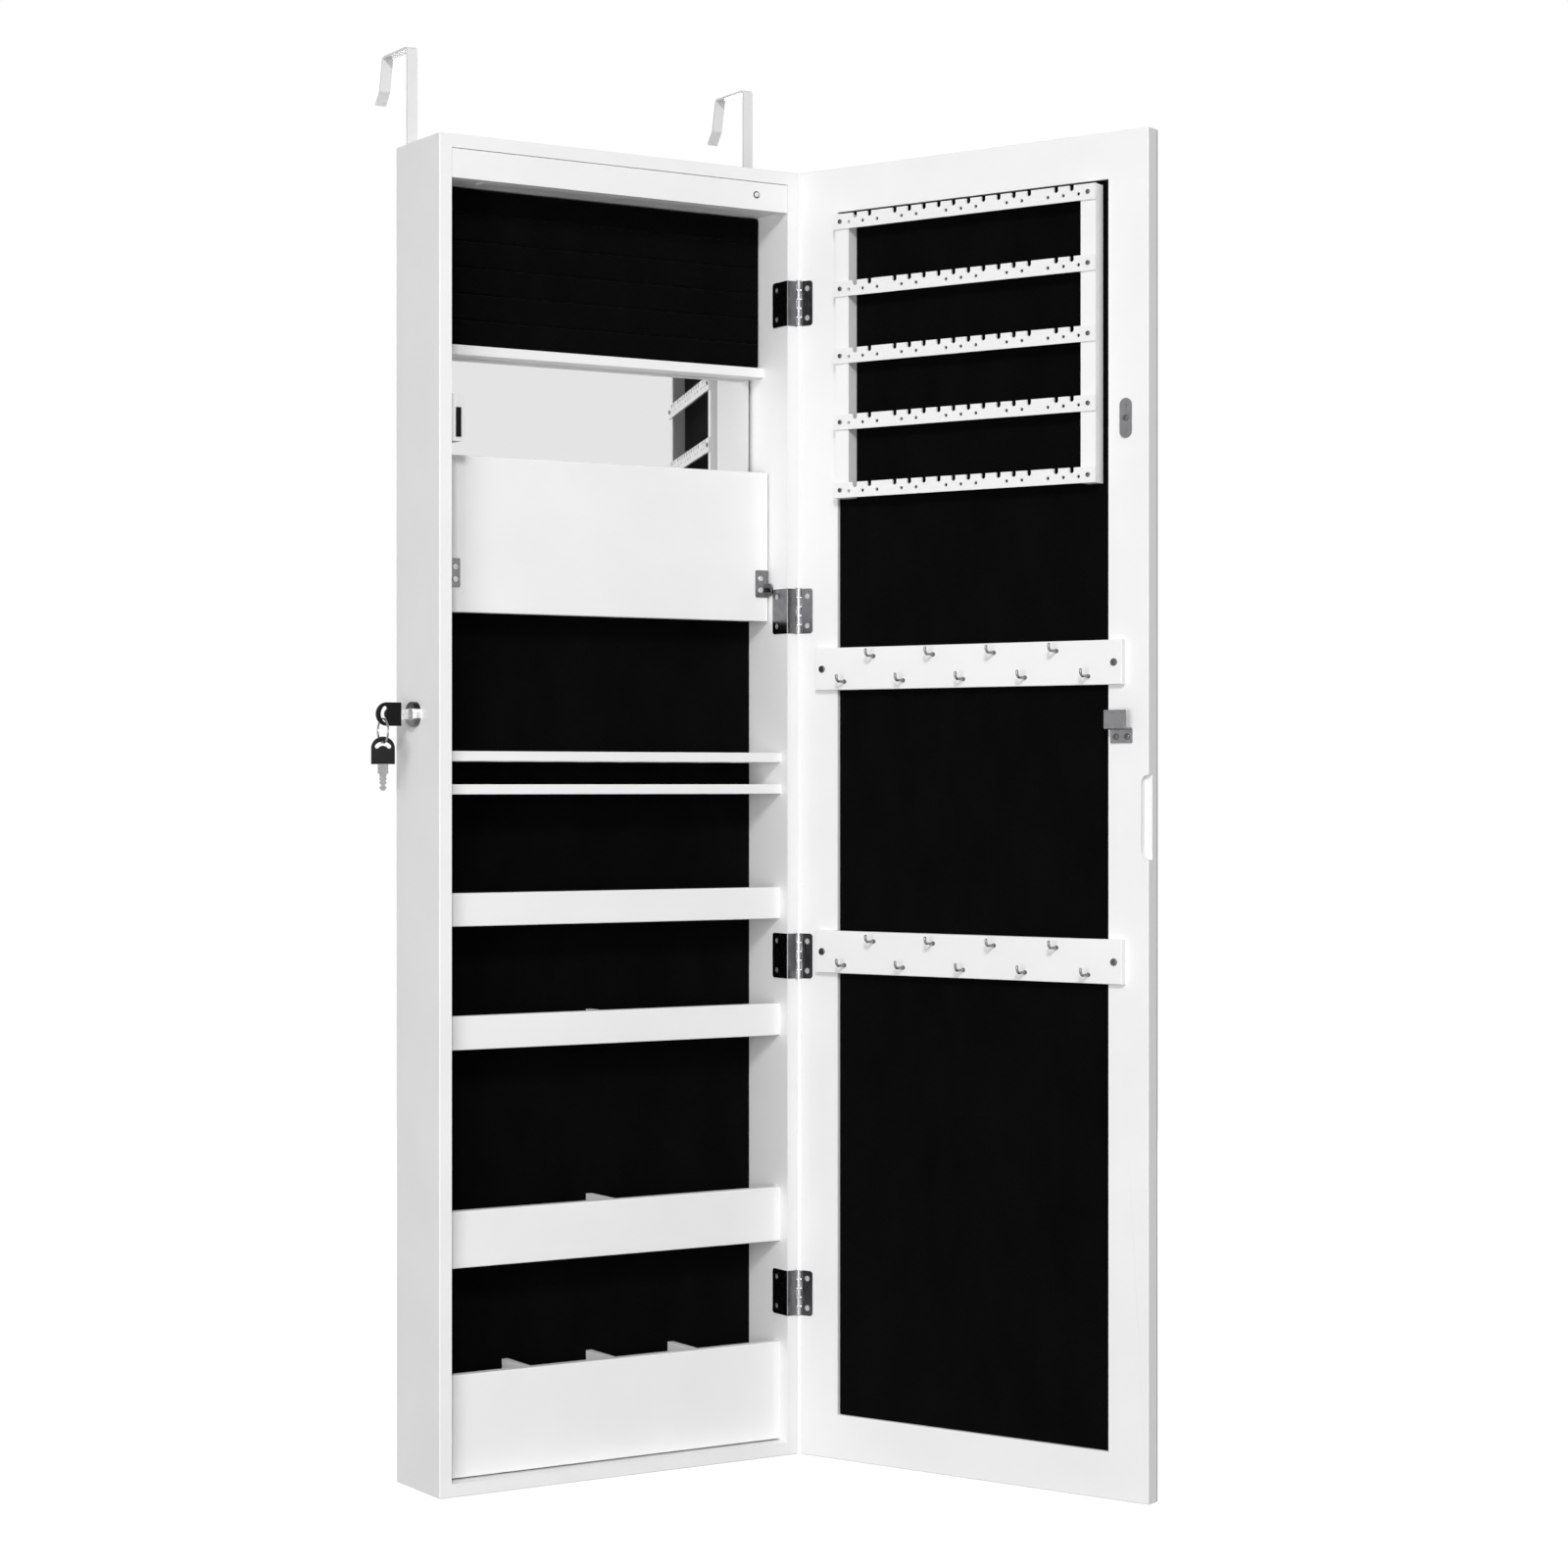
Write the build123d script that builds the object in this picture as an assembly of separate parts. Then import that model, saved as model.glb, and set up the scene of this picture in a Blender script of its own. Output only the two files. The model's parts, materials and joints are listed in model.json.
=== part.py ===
from build123d import *
import os

# Jewelry armoire that hangs over a room door, its own mirrored door shown open. Millimetres.
# Places are measured from the cabinet's left face (x), its front plane (y, backwards) and its foot (h).
# The part's origin is where the top front edge of the room door runs: half way across the cabinet,
# on the plane of its back edges, at the underside of the two over-door hooks.

# Carcass
WIDTH = 372.5
HEIGHT = 1200.0
DEPTH = 88.0
BOARD = 12.0
EASE = 1.0
LINING_Y = 68.0
BACK_Y = 71.0
BACK_THICK = 3.0
INSIDE = (BOARD, WIDTH - BOARD)
MIDDLE = WIDTH / 2
INNER_MIRROR_H = (788.0, 1011.5)
INNER_MIRROR_THICK = 4.0
INNER_MIRROR_GAP = 3.5

# Light box under the top panel
FASCIA_THICK = 9.0
FASCIA_H = (1161.5, 1187.4)
FASCIA_END_GAP = 0.3
LIGHT_FLOOR_H = (1164.0, 1167.5)
DIFFUSER_LONG = 270.0
DIFFUSER_Y = (15.0, 31.0)
DIFFUSER_PROUD = 1.5
LED_BOARD_THICK = 1.6
LED_SIDE = 5.0
LED_COUNT = 8
BATTERY_X = (130.0, 242.0)
BATTERY_Y = (37.0, 65.0)
BATTERY_WALL = 1.5
BATTERY_TALL = 16.0
SWITCH_X = 326.5
SWITCH_H = 1175.5
SWITCH_SIDE = 12.0
SWITCH_Y = (9.0, 27.0)
BUSH_RADIUS = 3.4
PLUNGER_RADIUS = 2.3
PLUNGER_PROUD = 1.7
PLUNGER_END_Y = 13.0
SPRING_END_Y = 24.0

# Ring cushion and its shelf
PAD_Y = (50.0, 70.7)
PAD_H = (1021.3, 1163.7)
PAD_SIDE_GAP = 0.5
PAD_ROWS = 6
PAD_SLIT_DEEP = 5.0
PAD_SLIT_HALF = 0.9
RING_SHELF_Y = 42.4
RING_SHELF_H = (1011.8, 1021.0)

# Lipstick racks
RACK_Y = 11.6
RACK_THICK = 9.0
RACK_UPPER_H = 648.0
RACK_LOWER_H = 618.5
LIPSTICK_HOLES = 8
LIPSTICK_RADIUS = 12.0
LIPSTICK_PITCH = 41.5

# Trays and the bin at the foot
FRONT_Y = (14.0, 23.0)
TRAY_UPPER_H = (501.5, 531.0)
TRAY_MIDDLE_H = (392.0, 422.0)
TRAY_LOWER_H = (199.0, 249.5)
BIN_H = (13.5, 104.7)
BIN_CELLS = 4
TRAY_FLOOR = 6.0
DIVIDER = 6.0
TRAY_MIDDLE_DIVIDER_DROP = 2.0

# Fold-down flap in front of the inner mirror
FLAP_Y = (33.0, 42.0)
FLAP_H = (781.0, 921.2)
FLAP_SIDE_GAP = 1.5
PIVOT_Y = 30.0
PIVOT_H = 810.5
PIVOT_RADIUS = 2.0
PIVOT_LONG = 3.6
DISC_RADIUS = 4.6
DISC_THICK = 1.1
BRACKET_THICK = 1.2
BRACKET_H = (803.5, 829.0)
BRACKET_WIDE_LEFT = 22.5
BRACKET_WIDE_RIGHT = 13.6
BRACKET_SCREW_INSET = 5.0
BRACKET_SCREW_H = (810.2, 821.2)
EAR_Y = 25.0
EAR_H = (804.5, 816.5)
STOP_RADIUS = 3.0
STOP_LONG = 7.0
STOP_GAP = 0.4
CLOSED_STOP_H = 905.0
OPEN_STOP_Y = 52.0

# Over-door hooks
SADDLE_RISE = 88.0
STRAP_WIDE = 10.1
STRAP_THICK = 2.0
STRAP_INSET = 4.6
STRAP_BEND = 3.0
STRAP_LEG_Y = 75.6
STRAP_FOOT_Y = 46.0
STRAP_BACK_Y = 126.5
STRAP_LEAN_Y = 132.5
STRAP_LEAN_DROP = 29.0
STRAP_TIP_Y = 141.5
STRAP_TIP_DROP = 40.5
STRAP_SCREW_Y = (52.0, 64.0)

# Door and its hinges
DOOR_REST_ANGLE = 112.0
DOOR_GAP = 2.0
DOOR_FRAME_THICK = 14.0
DOOR_EDGE_D = 0.6
DOOR_WIDE_D = 374.0
OPENING_D = (43.5, 333.8)
OPENING_H = (41.7, 1159.0)
DOOR_LINING_DROP = 3.0
DOOR_MIRROR_THICK = 3.3
DOOR_MIRROR_INSET = 0.2
SCOOP_H = (561.6, 636.0)
SCOOP_WIDE = 7.6
SCOOP_DEEP = 7.0
AXIS_X = WIDTH
AXIS_Y = -1.0
HINGE_H = (151.5, 466.9, 789.6, 1077.5)
HINGE_TALL = 42.0
LEAF = 0.8
LEAF_CORNER = 3.0
LEAF_DEEP_Y = 25.2
LEAF_SCREW_Y = 17.8
LEAF_SCREW_RISE = 13.8
DOOR_LEAF_D = (3.3, 15.1)
DOOR_LEAF_SCREW_D = 9.4
KNUCKLES = 5
KNUCKLE_RADIUS = 2.7
KNUCKLE_GAP = 0.5
KNUCKLE_ROOM = 0.4
HINGE_PIN_RADIUS = 1.2
PIN_CLEARANCE = 0.05
PIN_HEAD_RADIUS = 2.0
PIN_HEAD_THICK = 0.8

# Earring rack on the door
POST_D = ((48.0, 63.0), (311.5, 326.5))
POST_FRONT = 10.0
BAR_H = (899.3, 962.2, 1023.4, 1085.4, 1147.7)
BAR_D = (47.0, 327.5)
BAR_TALL = 14.0
BAR_THICK = 2.0
BAR_SCREW_OUT = 132.7
NOTCH_OUT = (8, 24, 40, 56, 72, 100, 116)
NOTCH_WIDE = 4.6
NOTCH_DEEP = 5.0
EARRING_HOLE_OUT = (16, 48.5, 64.5, 91.5, 107.5, 123)
EARRING_HOLE_RADIUS = 1.6
EARRING_HOLE_DROP = 1.2

# Necklace hook bars on the door
HOOK_BAR_H = (472.0, 734.5)
HOOK_BAR_D = (22.3, 351.0)
HOOK_BAR_TALL = 39.3
HOOK_BAR_THICK = 6.5
HOOK_BAR_SCREW_INSET = 8.0
HOOK_PITCH = 65.3
HOOK_ROWS = ((5, -12.0), (4, 11.0))
HOOK_WIRE = 1.25
HOOK_ROOT = 3.0
HOOK_REACH = 13.5
HOOK_RISE = 5.5
HOOK_BEND = 4.0
HOOK_COLLAR_RADIUS = 2.0
HOOK_COLLAR_THICK = 1.0

# Magnetic catch and its strike plate
CATCH_H = (930.0, 972.0)
CATCH_Y = (2.0, 20.0)
CATCH_WIDE = 13.0
MAGNET_H = (933.8, 959.8)
MAGNET_X = (17.0, 21.6)
MAGNET_Y = (0.8, 14.0)
STRIKE_D = 351.5
STRIKE_H = 948.0
STRIKE_WIDE = 12.0
STRIKE_TALL = 35.0
STRIKE_THICK = 1.0
STRIKE_PIP_RISE = 11.0
STRIKE_PIP_RADIUS = 1.4

# Cam lock, its keep on the door, and the keys
LOCK_Y = 48.0
LOCK_H = 689.7
LOCK_PROUD = 5.5
FLANGE_RADIUS = 11.3
BARREL_RADIUS = 9.0
BARREL_END_X = 16.5
PLUG_RADIUS = 6.0
PLUG_CLEARANCE = 0.06
PLUG_END_X = 18.2
TAIL_SIDE = 6.5
NUT_ACROSS = 24.0
NUT_THICK = 4.0
CAM_X = (18.4, 20.4)
CAM_HUB_RADIUS = 8.5
CAM_TIP_FRONT = 48.5
CAM_TIP_BACK = 43.5
CAM_TIP_LOW = -3.7
CAM_ARM_LOW = 4.3
CAM_ARM_HIGH = 12.5
CAM_ARM_START = 30.0
CAM_CROOK = 36.0
CAM_NECK = 6.0
KEEP_D = (336.5, 358.0)
KEEP_FOOT_H = (663.7, 677.0)
KEEP_TOP_H = 692.5
KEEP_STAND = 13.0
KEEP_THICK = 1.5
KEEP_SCREW_D = (342.0, 353.3)
KEEP_SCREW_H = 669.2
BOW_FLAT_X = -14.2
BOW_LONG = 24.5
BOW_HALF = 10.5
BOW_THICK = 3.2
BOW_EDGE = 1.2
SLOT_CENTRE = 11.3
SLOT_OUTER = 8.7
SLOT_INNER = 5.1
SLOT_HALF_ANGLE = 50.0
SHOULDER_LONG = 8.4
SHOULDER_TALL = 9.2
BLADE_LONG = 15.0
BLADE_TALL = 6.2
BLADE_THICK = 2.0
TANG_LONG = 6.0
BITES = ((3.0, 0.7), (6.4, 1.0), (10.2, 1.7))
KEYWAY_ROOM = 0.1
RING_RADIUS = 10.7
RING_WIRE = 0.9
RING_DROP = 4.1
RING_SIDE = 17.6
SPARE_WIRE_ROOM = 0.2
SPARE_TURN = 25.0

# Pan head screws, and countersunk ones in the hinges
SHANK_RADIUS = 1.2
HEAD_RADIUS = 2.7
SMALL_HEAD_RADIUS = 2.1
LARGE_HEAD_RADIUS = 3.3
HEAD_THICK = 1.3
SUNK_RADIUS = 2.6
SUNK_DEEP = 1.5
RECESS_LONG = 2.8
RECESS_WIDE = 0.7
RECESS_DEEP = 0.6
SHORT_SCREW = 7.0
LONG_SCREW = 14.0

LEFT, FRONT, BACK, UP = Vector(-1, 0, 0), Vector(0, -1, 0), Vector(0, 1, 0), Vector(0, 0, 1)
BOTTOM_ALIGN = (Align.CENTER, Align.CENTER, Align.MIN)
TOP_ALIGN = (Align.CENTER, Align.CENTER, Align.MAX)


# Helpers

def spot(x, y, h):
    """A point measured from the cabinet's left face, front plane and foot."""
    return Vector(x - WIDTH / 2, y - DEPTH, h - HEIGHT - SADDLE_RISE)


def door_spot(d, off, h):
    """A point on the closed door: across from the hinge axis, inwards from its inner face, up."""
    return spot(AXIS_X - d, off - DOOR_GAP, h)


def block(low, high):
    """A square block between two corners."""
    size = high - low
    return Pos(*(low + size / 2)) * Box(size.X, size.Y, size.Z)


def board(x, y, h):
    return block(spot(x[0], y[0], h[0]), spot(x[1], y[1], h[1]))


def door_board(d, off, h):
    return block(door_spot(d[1], off[0], h[0]), door_spot(d[0], off[1], h[1]))


def rod(start, end, radius):
    """A round bar from one point to another."""
    run = end - start
    return extrude(Plane(start, z_dir=run) * Circle(radius), run.length)


def around(value, half):
    return (value - half, value + half)


def rounded_front(piece, radius=EASE):
    """Eases the two long edges at the front of a shelf or tray front."""
    return fillet(piece.edges().filter_by(Axis.X).group_by(Axis.Y)[0], radius)


def cross_recess():
    return Box(RECESS_LONG, RECESS_WIDE, RECESS_DEEP * 2) + Box(RECESS_WIDE, RECESS_LONG, RECESS_DEEP * 2)


def screw(head, outward, length, radius=HEAD_RADIUS):
    """A pan head screw with a cross recess; the head stands outward from the given point."""
    cap = Cylinder(radius, HEAD_THICK, align=BOTTOM_ALIGN)
    cap = fillet(cap.edges().group_by(Axis.Z)[-1], HEAD_THICK * 0.6)
    shank = Cylinder(SHANK_RADIUS, length, align=TOP_ALIGN)
    return Plane(head, z_dir=outward) * (cap + shank - Pos(0, 0, HEAD_THICK) * cross_recess())


def sunk_screw(head, outward, length):
    """A countersunk screw with a cross recess; its flat head ends at the given point."""
    cone = Cone(SHANK_RADIUS, SUNK_RADIUS, SUNK_DEEP, align=TOP_ALIGN)
    shank = Cylinder(SHANK_RADIUS, length, align=TOP_ALIGN)
    return Plane(head, z_dir=outward) * (cone + shank - cross_recess())


def bored(piece, heads, outward, length):
    """Holes for screws whose heads sit at the given points."""
    for head in heads:
        piece -= rod(head + outward * HEAD_THICK, head - outward * (length + EASE), SHANK_RADIUS)
    return piece


def countersunk(piece, heads, outward, length):
    """Holes for countersunk screws whose flat heads end at the given points."""
    for head in heads:
        piece -= Plane(head, z_dir=outward) * Cone(SHANK_RADIUS, SUNK_RADIUS, SUNK_DEEP, align=TOP_ALIGN)
    return bored(piece, heads, outward, length)


def opened(pieces):
    """Turns pieces of the closed door to where the door stands."""
    axis = Axis(spot(AXIS_X, AXIS_Y, 0), UP)
    return [piece.rotate(axis, DOOR_REST_ANGLE) for piece in pieces]


def knuckle_spans(centre, first):
    """Heights of every second knuckle of a hinge, from the given one."""
    step = (HINGE_TALL + KNUCKLE_GAP) / KNUCKLES
    foot = centre - HINGE_TALL / 2
    return [(foot + step * n, foot + step * (n + 1) - KNUCKLE_GAP) for n in range(first, KNUCKLES, 2)]


def hinge_line(h):
    return rod(spot(AXIS_X, AXIS_Y, h[0]), spot(AXIS_X, AXIS_Y, h[1]), KNUCKLE_RADIUS)


def hinge_room(centre):
    """The space that the knuckles of one hinge turn in."""
    low, high = around(centre, HINGE_TALL / 2 + PIN_HEAD_THICK + KNUCKLE_GAP)
    return rod(spot(AXIS_X, AXIS_Y, low), spot(AXIS_X, AXIS_Y, high), KNUCKLE_RADIUS + KNUCKLE_ROOM)


# Screw places, each with the direction that its head looks

leaf_heads = [spot(INSIDE[1] - LEAF, LEAF_SCREW_Y, h + rise)
              for h in HINGE_H for rise in (-LEAF_SCREW_RISE, LEAF_SCREW_RISE)]
strap_centres = (STRAP_INSET + STRAP_WIDE / 2, WIDTH - STRAP_INSET - STRAP_WIDE / 2)
strap_heads = [spot(x, y, HEIGHT + STRAP_THICK) for x in strap_centres for y in STRAP_SCREW_Y]
door_leaf_heads = [door_spot(DOOR_LEAF_SCREW_D, LEAF, h + rise)
                   for h in HINGE_H for rise in (-LEAF_SCREW_RISE, LEAF_SCREW_RISE)]
bar_middle_d = (BAR_D[0] + BAR_D[1]) / 2
bar_heads = [door_spot(bar_middle_d + side * BAR_SCREW_OUT, POST_FRONT + BAR_THICK, h)
             for h in BAR_H for side in (-1, 1)]
hook_bar_heads = [door_spot(d, HOOK_BAR_THICK, h) for h in HOOK_BAR_H
                  for d in (HOOK_BAR_D[0] + HOOK_BAR_SCREW_INSET, HOOK_BAR_D[1] - HOOK_BAR_SCREW_INSET)]
keep_heads = [door_spot(d, KEEP_THICK, KEEP_SCREW_H) for d in KEEP_SCREW_D]
strike_heads = [door_spot(STRIKE_D, STRIKE_THICK, STRIKE_H)]


# Carcass

def carcass():
    side_h = (BOARD, HEIGHT - BOARD)
    left = board((0, BOARD), (0, DEPTH), side_h)
    left = fillet(left.edges().filter_by(Axis.Z).group_by(Axis.X)[0], EASE)
    left -= rod(spot(-1, LOCK_Y, LOCK_H), spot(BOARD + 1, LOCK_Y, LOCK_H), BARREL_RADIUS)
    right = board((INSIDE[1], WIDTH), (0, DEPTH), side_h)
    right = fillet(right.edges().filter_by(Axis.Z).group_by(Axis.X)[-1], EASE)
    for h in HINGE_H:
        right -= hinge_room(h)
    right = countersunk(right, leaf_heads, LEFT, SHORT_SCREW)
    top = board((0, WIDTH), (0, DEPTH), (HEIGHT - BOARD, HEIGHT))
    top = fillet(top.edges().filter_by(Axis.Z) + top.edges().group_by(Axis.Z)[-1], EASE)
    top = bored(top, strap_heads, UP, SHORT_SCREW)
    bottom = board((0, WIDTH), (0, DEPTH), (0, BOARD))
    bottom = fillet(bottom.edges().filter_by(Axis.Z) + bottom.edges().group_by(Axis.Z)[0], EASE)
    mirror_x = (INSIDE[0] + INNER_MIRROR_GAP, INSIDE[1] - INNER_MIRROR_GAP)
    mirror_y = (LINING_Y - INNER_MIRROR_THICK, LINING_Y)
    return {
        "side_panel_left": left,
        "side_panel_right": right,
        "top_panel": top,
        "bottom_panel": bottom,
        "back_panel": board(INSIDE, (BACK_Y, BACK_Y + BACK_THICK), side_h),
        "back_lining": board(INSIDE, (LINING_Y, BACK_Y), (BOARD, INNER_MIRROR_H[1])),
        "inner_mirror": board(mirror_x, mirror_y, INNER_MIRROR_H),
    }


# Light box: a floor and a fascia under the top panel, with the light, its battery box and its switch

def light_box():
    floor_foot, floor_top = LIGHT_FLOOR_H
    diffuser_x = around(MIDDLE, DIFFUSER_LONG / 2)
    floor = board(INSIDE, (FASCIA_THICK, BACK_Y), LIGHT_FLOOR_H)
    floor -= board(diffuser_x, DIFFUSER_Y, FASCIA_H)
    floor -= board(BATTERY_X, BATTERY_Y, FASCIA_H)
    diffuser_h = (floor_foot - DIFFUSER_PROUD, (floor_foot + floor_top) / 2)
    diffuser = board(diffuser_x, DIFFUSER_Y, diffuser_h)
    diffuser = fillet(diffuser.edges().group_by(Axis.Z)[0], EASE)

    rim = BATTERY_WALL * 2
    strip = board((diffuser_x[0] - rim, diffuser_x[1] + rim), (DIFFUSER_Y[0] - rim, DIFFUSER_Y[1] + rim),
                  (floor_top, floor_top + LED_BOARD_THICK))
    led_pitch = DIFFUSER_LONG / LED_COUNT
    for n in range(LED_COUNT):
        x = diffuser_x[0] + led_pitch * (n + 0.5)
        strip += board(around(x, LED_SIDE / 2), around(sum(DIFFUSER_Y) / 2, LED_SIDE / 2),
                       (floor_top - LED_BOARD_THICK, floor_top))

    wall = BATTERY_WALL
    shell_x = (BATTERY_X[0] - wall, BATTERY_X[1] + wall)
    shell_y = (BATTERY_Y[0] - wall, BATTERY_Y[1] + wall)
    box = board(shell_x, shell_y, (floor_top, floor_top + BATTERY_TALL))
    box -= board(BATTERY_X, BATTERY_Y, (floor_top, floor_top + BATTERY_TALL - wall))
    cover = board(BATTERY_X, BATTERY_Y, (floor_foot, floor_foot + wall))

    bush = rod(spot(SWITCH_X, 0, SWITCH_H), spot(SWITCH_X, SWITCH_Y[0], SWITCH_H), BUSH_RADIUS)
    half = SWITCH_SIDE / 2
    switch = board(around(SWITCH_X, half), SWITCH_Y, around(SWITCH_H, half)) + bush
    bore = rod(spot(SWITCH_X, -1, SWITCH_H), spot(SWITCH_X, SPRING_END_Y, SWITCH_H),
               PLUNGER_RADIUS + PIN_CLEARANCE)
    fascia_x = (INSIDE[0] + FASCIA_END_GAP, INSIDE[1] - FASCIA_END_GAP)
    fascia = rounded_front(board(fascia_x, (0, FASCIA_THICK), FASCIA_H), EASE / 2) - bush
    plunger = rod(spot(SWITCH_X, PLUNGER_END_Y, SWITCH_H), spot(SWITCH_X, -PLUNGER_PROUD, SWITCH_H),
                  PLUNGER_RADIUS)
    plunger = fillet(plunger.edges().group_by(Axis.Y)[0], EASE)
    return {
        "light_fascia": fascia,
        "light_box_floor": floor,
        "led_diffuser": diffuser,
        "led_strip": strip,
        "battery_box": box,
        "battery_cover": cover,
        "switch_body": switch - bore,
        "switch_plunger": plunger,
    }


# Ring cushion: a velvet covered block on a shelf, with slits that hold rings

def ring_display():
    pad_x = (INSIDE[0] + PAD_SIDE_GAP, INSIDE[1] - PAD_SIDE_GAP)
    pad = board(pad_x, PAD_Y, PAD_H)
    side = Plane(spot(pad_x[0], 0, 0), x_dir=BACK, z_dir=-LEFT)
    front_y, slit_y = PAD_Y[0], PAD_Y[0] + PAD_SLIT_DEEP
    row = (PAD_H[1] - PAD_H[0]) / PAD_ROWS
    for n in range(1, PAD_ROWS):
        h = PAD_H[0] + row * n
        slit = Polyline((front_y, h - PAD_SLIT_HALF), (slit_y, h), (front_y, h + PAD_SLIT_HALF), close=True)
        pad -= extrude(side * make_face(slit), pad_x[1] - pad_x[0])
    return {
        "ring_pad": pad,
        "ring_shelf": rounded_front(board(INSIDE, (RING_SHELF_Y, BACK_Y), RING_SHELF_H)),
    }


# Racks, trays and the bin

def racks_and_trays():
    rack_y = (RACK_Y, LINING_Y)
    upper = rounded_front(board(INSIDE, rack_y, (RACK_UPPER_H, RACK_UPPER_H + RACK_THICK)))
    hole_y = (RACK_Y + LINING_Y) / 2
    for n in range(LIPSTICK_HOLES):
        x = MIDDLE + LIPSTICK_PITCH * (n - (LIPSTICK_HOLES - 1) / 2)
        upper -= rod(spot(x, hole_y, RACK_UPPER_H - 1), spot(x, hole_y, RACK_UPPER_H + RACK_THICK + 1),
                     LIPSTICK_RADIUS)
    lower = rounded_front(board(INSIDE, rack_y, (RACK_LOWER_H, RACK_LOWER_H + RACK_THICK)))

    inner_y = (FRONT_Y[1], LINING_Y)
    floors = [board(INSIDE, inner_y, (h[0], h[0] + TRAY_FLOOR))
              for h in (TRAY_UPPER_H, TRAY_MIDDLE_H, TRAY_LOWER_H)]
    halfway = around(MIDDLE, DIVIDER / 2)
    middle_h = (TRAY_MIDDLE_H[0] + TRAY_FLOOR, TRAY_MIDDLE_H[1] - TRAY_MIDDLE_DIVIDER_DROP)
    lower_h = (TRAY_LOWER_H[0] + TRAY_FLOOR, TRAY_LOWER_H[1])
    cell = (INSIDE[1] - INSIDE[0]) / BIN_CELLS
    bin_x = [around(INSIDE[0] + cell * n, DIVIDER / 2) for n in range(1, BIN_CELLS)]
    return {
        "lipstick_rack_upper": upper,
        "lipstick_rack_lower": lower,
        "tray_upper_front": rounded_front(board(INSIDE, FRONT_Y, TRAY_UPPER_H)),
        "tray_middle_front": rounded_front(board(INSIDE, FRONT_Y, TRAY_MIDDLE_H)),
        "tray_lower_front": rounded_front(board(INSIDE, FRONT_Y, TRAY_LOWER_H)),
        "tray_floors": Compound(floors),
        "tray_dividers": Compound([board(halfway, inner_y, middle_h), board(halfway, inner_y, lower_h)]),
        "bin_front": rounded_front(board(INSIDE, FRONT_Y, BIN_H)),
        "bin_dividers": Compound([board(x, inner_y, (BOARD, BIN_H[1])) for x in bin_x]),
    }


# Fold-down flap: a board on two steel brackets that turn on nylon-shouldered pivots

def flap():
    panel_x = (INSIDE[0] + FLAP_SIDE_GAP, INSIDE[1] - FLAP_SIDE_GAP)
    plates = ((panel_x[0], panel_x[0] + BRACKET_WIDE_LEFT), (panel_x[1] - BRACKET_WIDE_RIGHT, panel_x[1]))
    ears = ((panel_x[0], panel_x[0] + BRACKET_THICK), (panel_x[1] - BRACKET_THICK, panel_x[1]))
    screw_x = (plates[0][1] - BRACKET_SCREW_INSET, plates[1][0] + BRACKET_SCREW_INSET)
    plate_y = (FLAP_Y[0] - BRACKET_THICK, FLAP_Y[0])
    heads = [spot(x, plate_y[0], h) for x in screw_x for h in BRACKET_SCREW_H]
    across = (spot(0, PIVOT_Y, PIVOT_H), spot(WIDTH, PIVOT_Y, PIVOT_H))
    brackets = []
    for plate_x, ear_x in zip(plates, ears):
        bracket = board(plate_x, plate_y, BRACKET_H)
        bracket = fillet(bracket.edges().filter_by(Axis.Y), BRACKET_THICK)
        ear = board(ear_x, (EAR_Y, FLAP_Y[0]), EAR_H)
        bracket += fillet(ear.edges().filter_by(Axis.X).group_by(Axis.Y)[0], BRACKET_THICK * 3)
        bracket -= rod(*across, PIVOT_RADIUS + PIN_CLEARANCE)
        brackets.append(bored(bracket, heads, FRONT, SHORT_SCREW))

    panel = board(panel_x, FLAP_Y, FLAP_H)
    panel = fillet(panel.edges().filter_by(Axis.X), EASE)
    pivots = []
    stops = []
    closed_stop_y = FLAP_Y[1] + STOP_RADIUS + STOP_GAP
    open_stop_h = PIVOT_H + FLAP_Y[1] - PIVOT_Y + STOP_RADIUS + STOP_GAP
    for wall_x, inward in ((INSIDE[0], 1), (INSIDE[1], -1)):
        disc_x = wall_x + inward * DISC_THICK
        tip_x = disc_x + inward * PIVOT_LONG
        disc = rod(spot(wall_x, PIVOT_Y, PIVOT_H), spot(disc_x, PIVOT_Y, PIVOT_H), DISC_RADIUS)
        pin = rod(spot(wall_x, PIVOT_Y, PIVOT_H), spot(tip_x, PIVOT_Y, PIVOT_H), PIVOT_RADIUS)
        pivots.append(disc + pin)
        peg_x = wall_x + inward * STOP_LONG
        for y, h in ((closed_stop_y, CLOSED_STOP_H), (OPEN_STOP_Y, open_stop_h)):
            stops.append(rod(spot(wall_x, y, h), spot(peg_x, y, h), STOP_RADIUS))
    return {
        "flap_panel": bored(panel, heads, FRONT, SHORT_SCREW),
        "flap_brackets": Compound(brackets),
        "flap_bracket_screws": Compound([screw(head, FRONT, SHORT_SCREW) for head in heads]),
        "flap_pivots": Compound(pivots),
        "flap_stops": Compound(stops),
    }


# Over-door hooks: flat steel straps, bent up from a screwed foot and over the room door

def over_door_hook(x):
    half = STRAP_THICK / 2
    bridge_h = HEIGHT + SADDLE_RISE + half
    path = FilletPolyline(
        (STRAP_FOOT_Y, HEIGHT + half),
        (STRAP_LEG_Y, HEIGHT + half),
        (STRAP_LEG_Y, bridge_h),
        (STRAP_BACK_Y, bridge_h),
        (STRAP_LEAN_Y, bridge_h - STRAP_LEAN_DROP),
        (STRAP_TIP_Y, bridge_h - STRAP_TIP_DROP),
        radius=STRAP_BEND,
    )
    side = Plane(spot(x - STRAP_WIDE / 2, 0, 0), x_dir=BACK, z_dir=-LEFT)
    strap = extrude(side * trace(path, STRAP_THICK), STRAP_WIDE)
    return bored(strap, strap_heads, UP, SHORT_SCREW)


# Butt hinges: each cabinet leaf wraps the panel's front edge, each door leaf lies on the door

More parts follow.
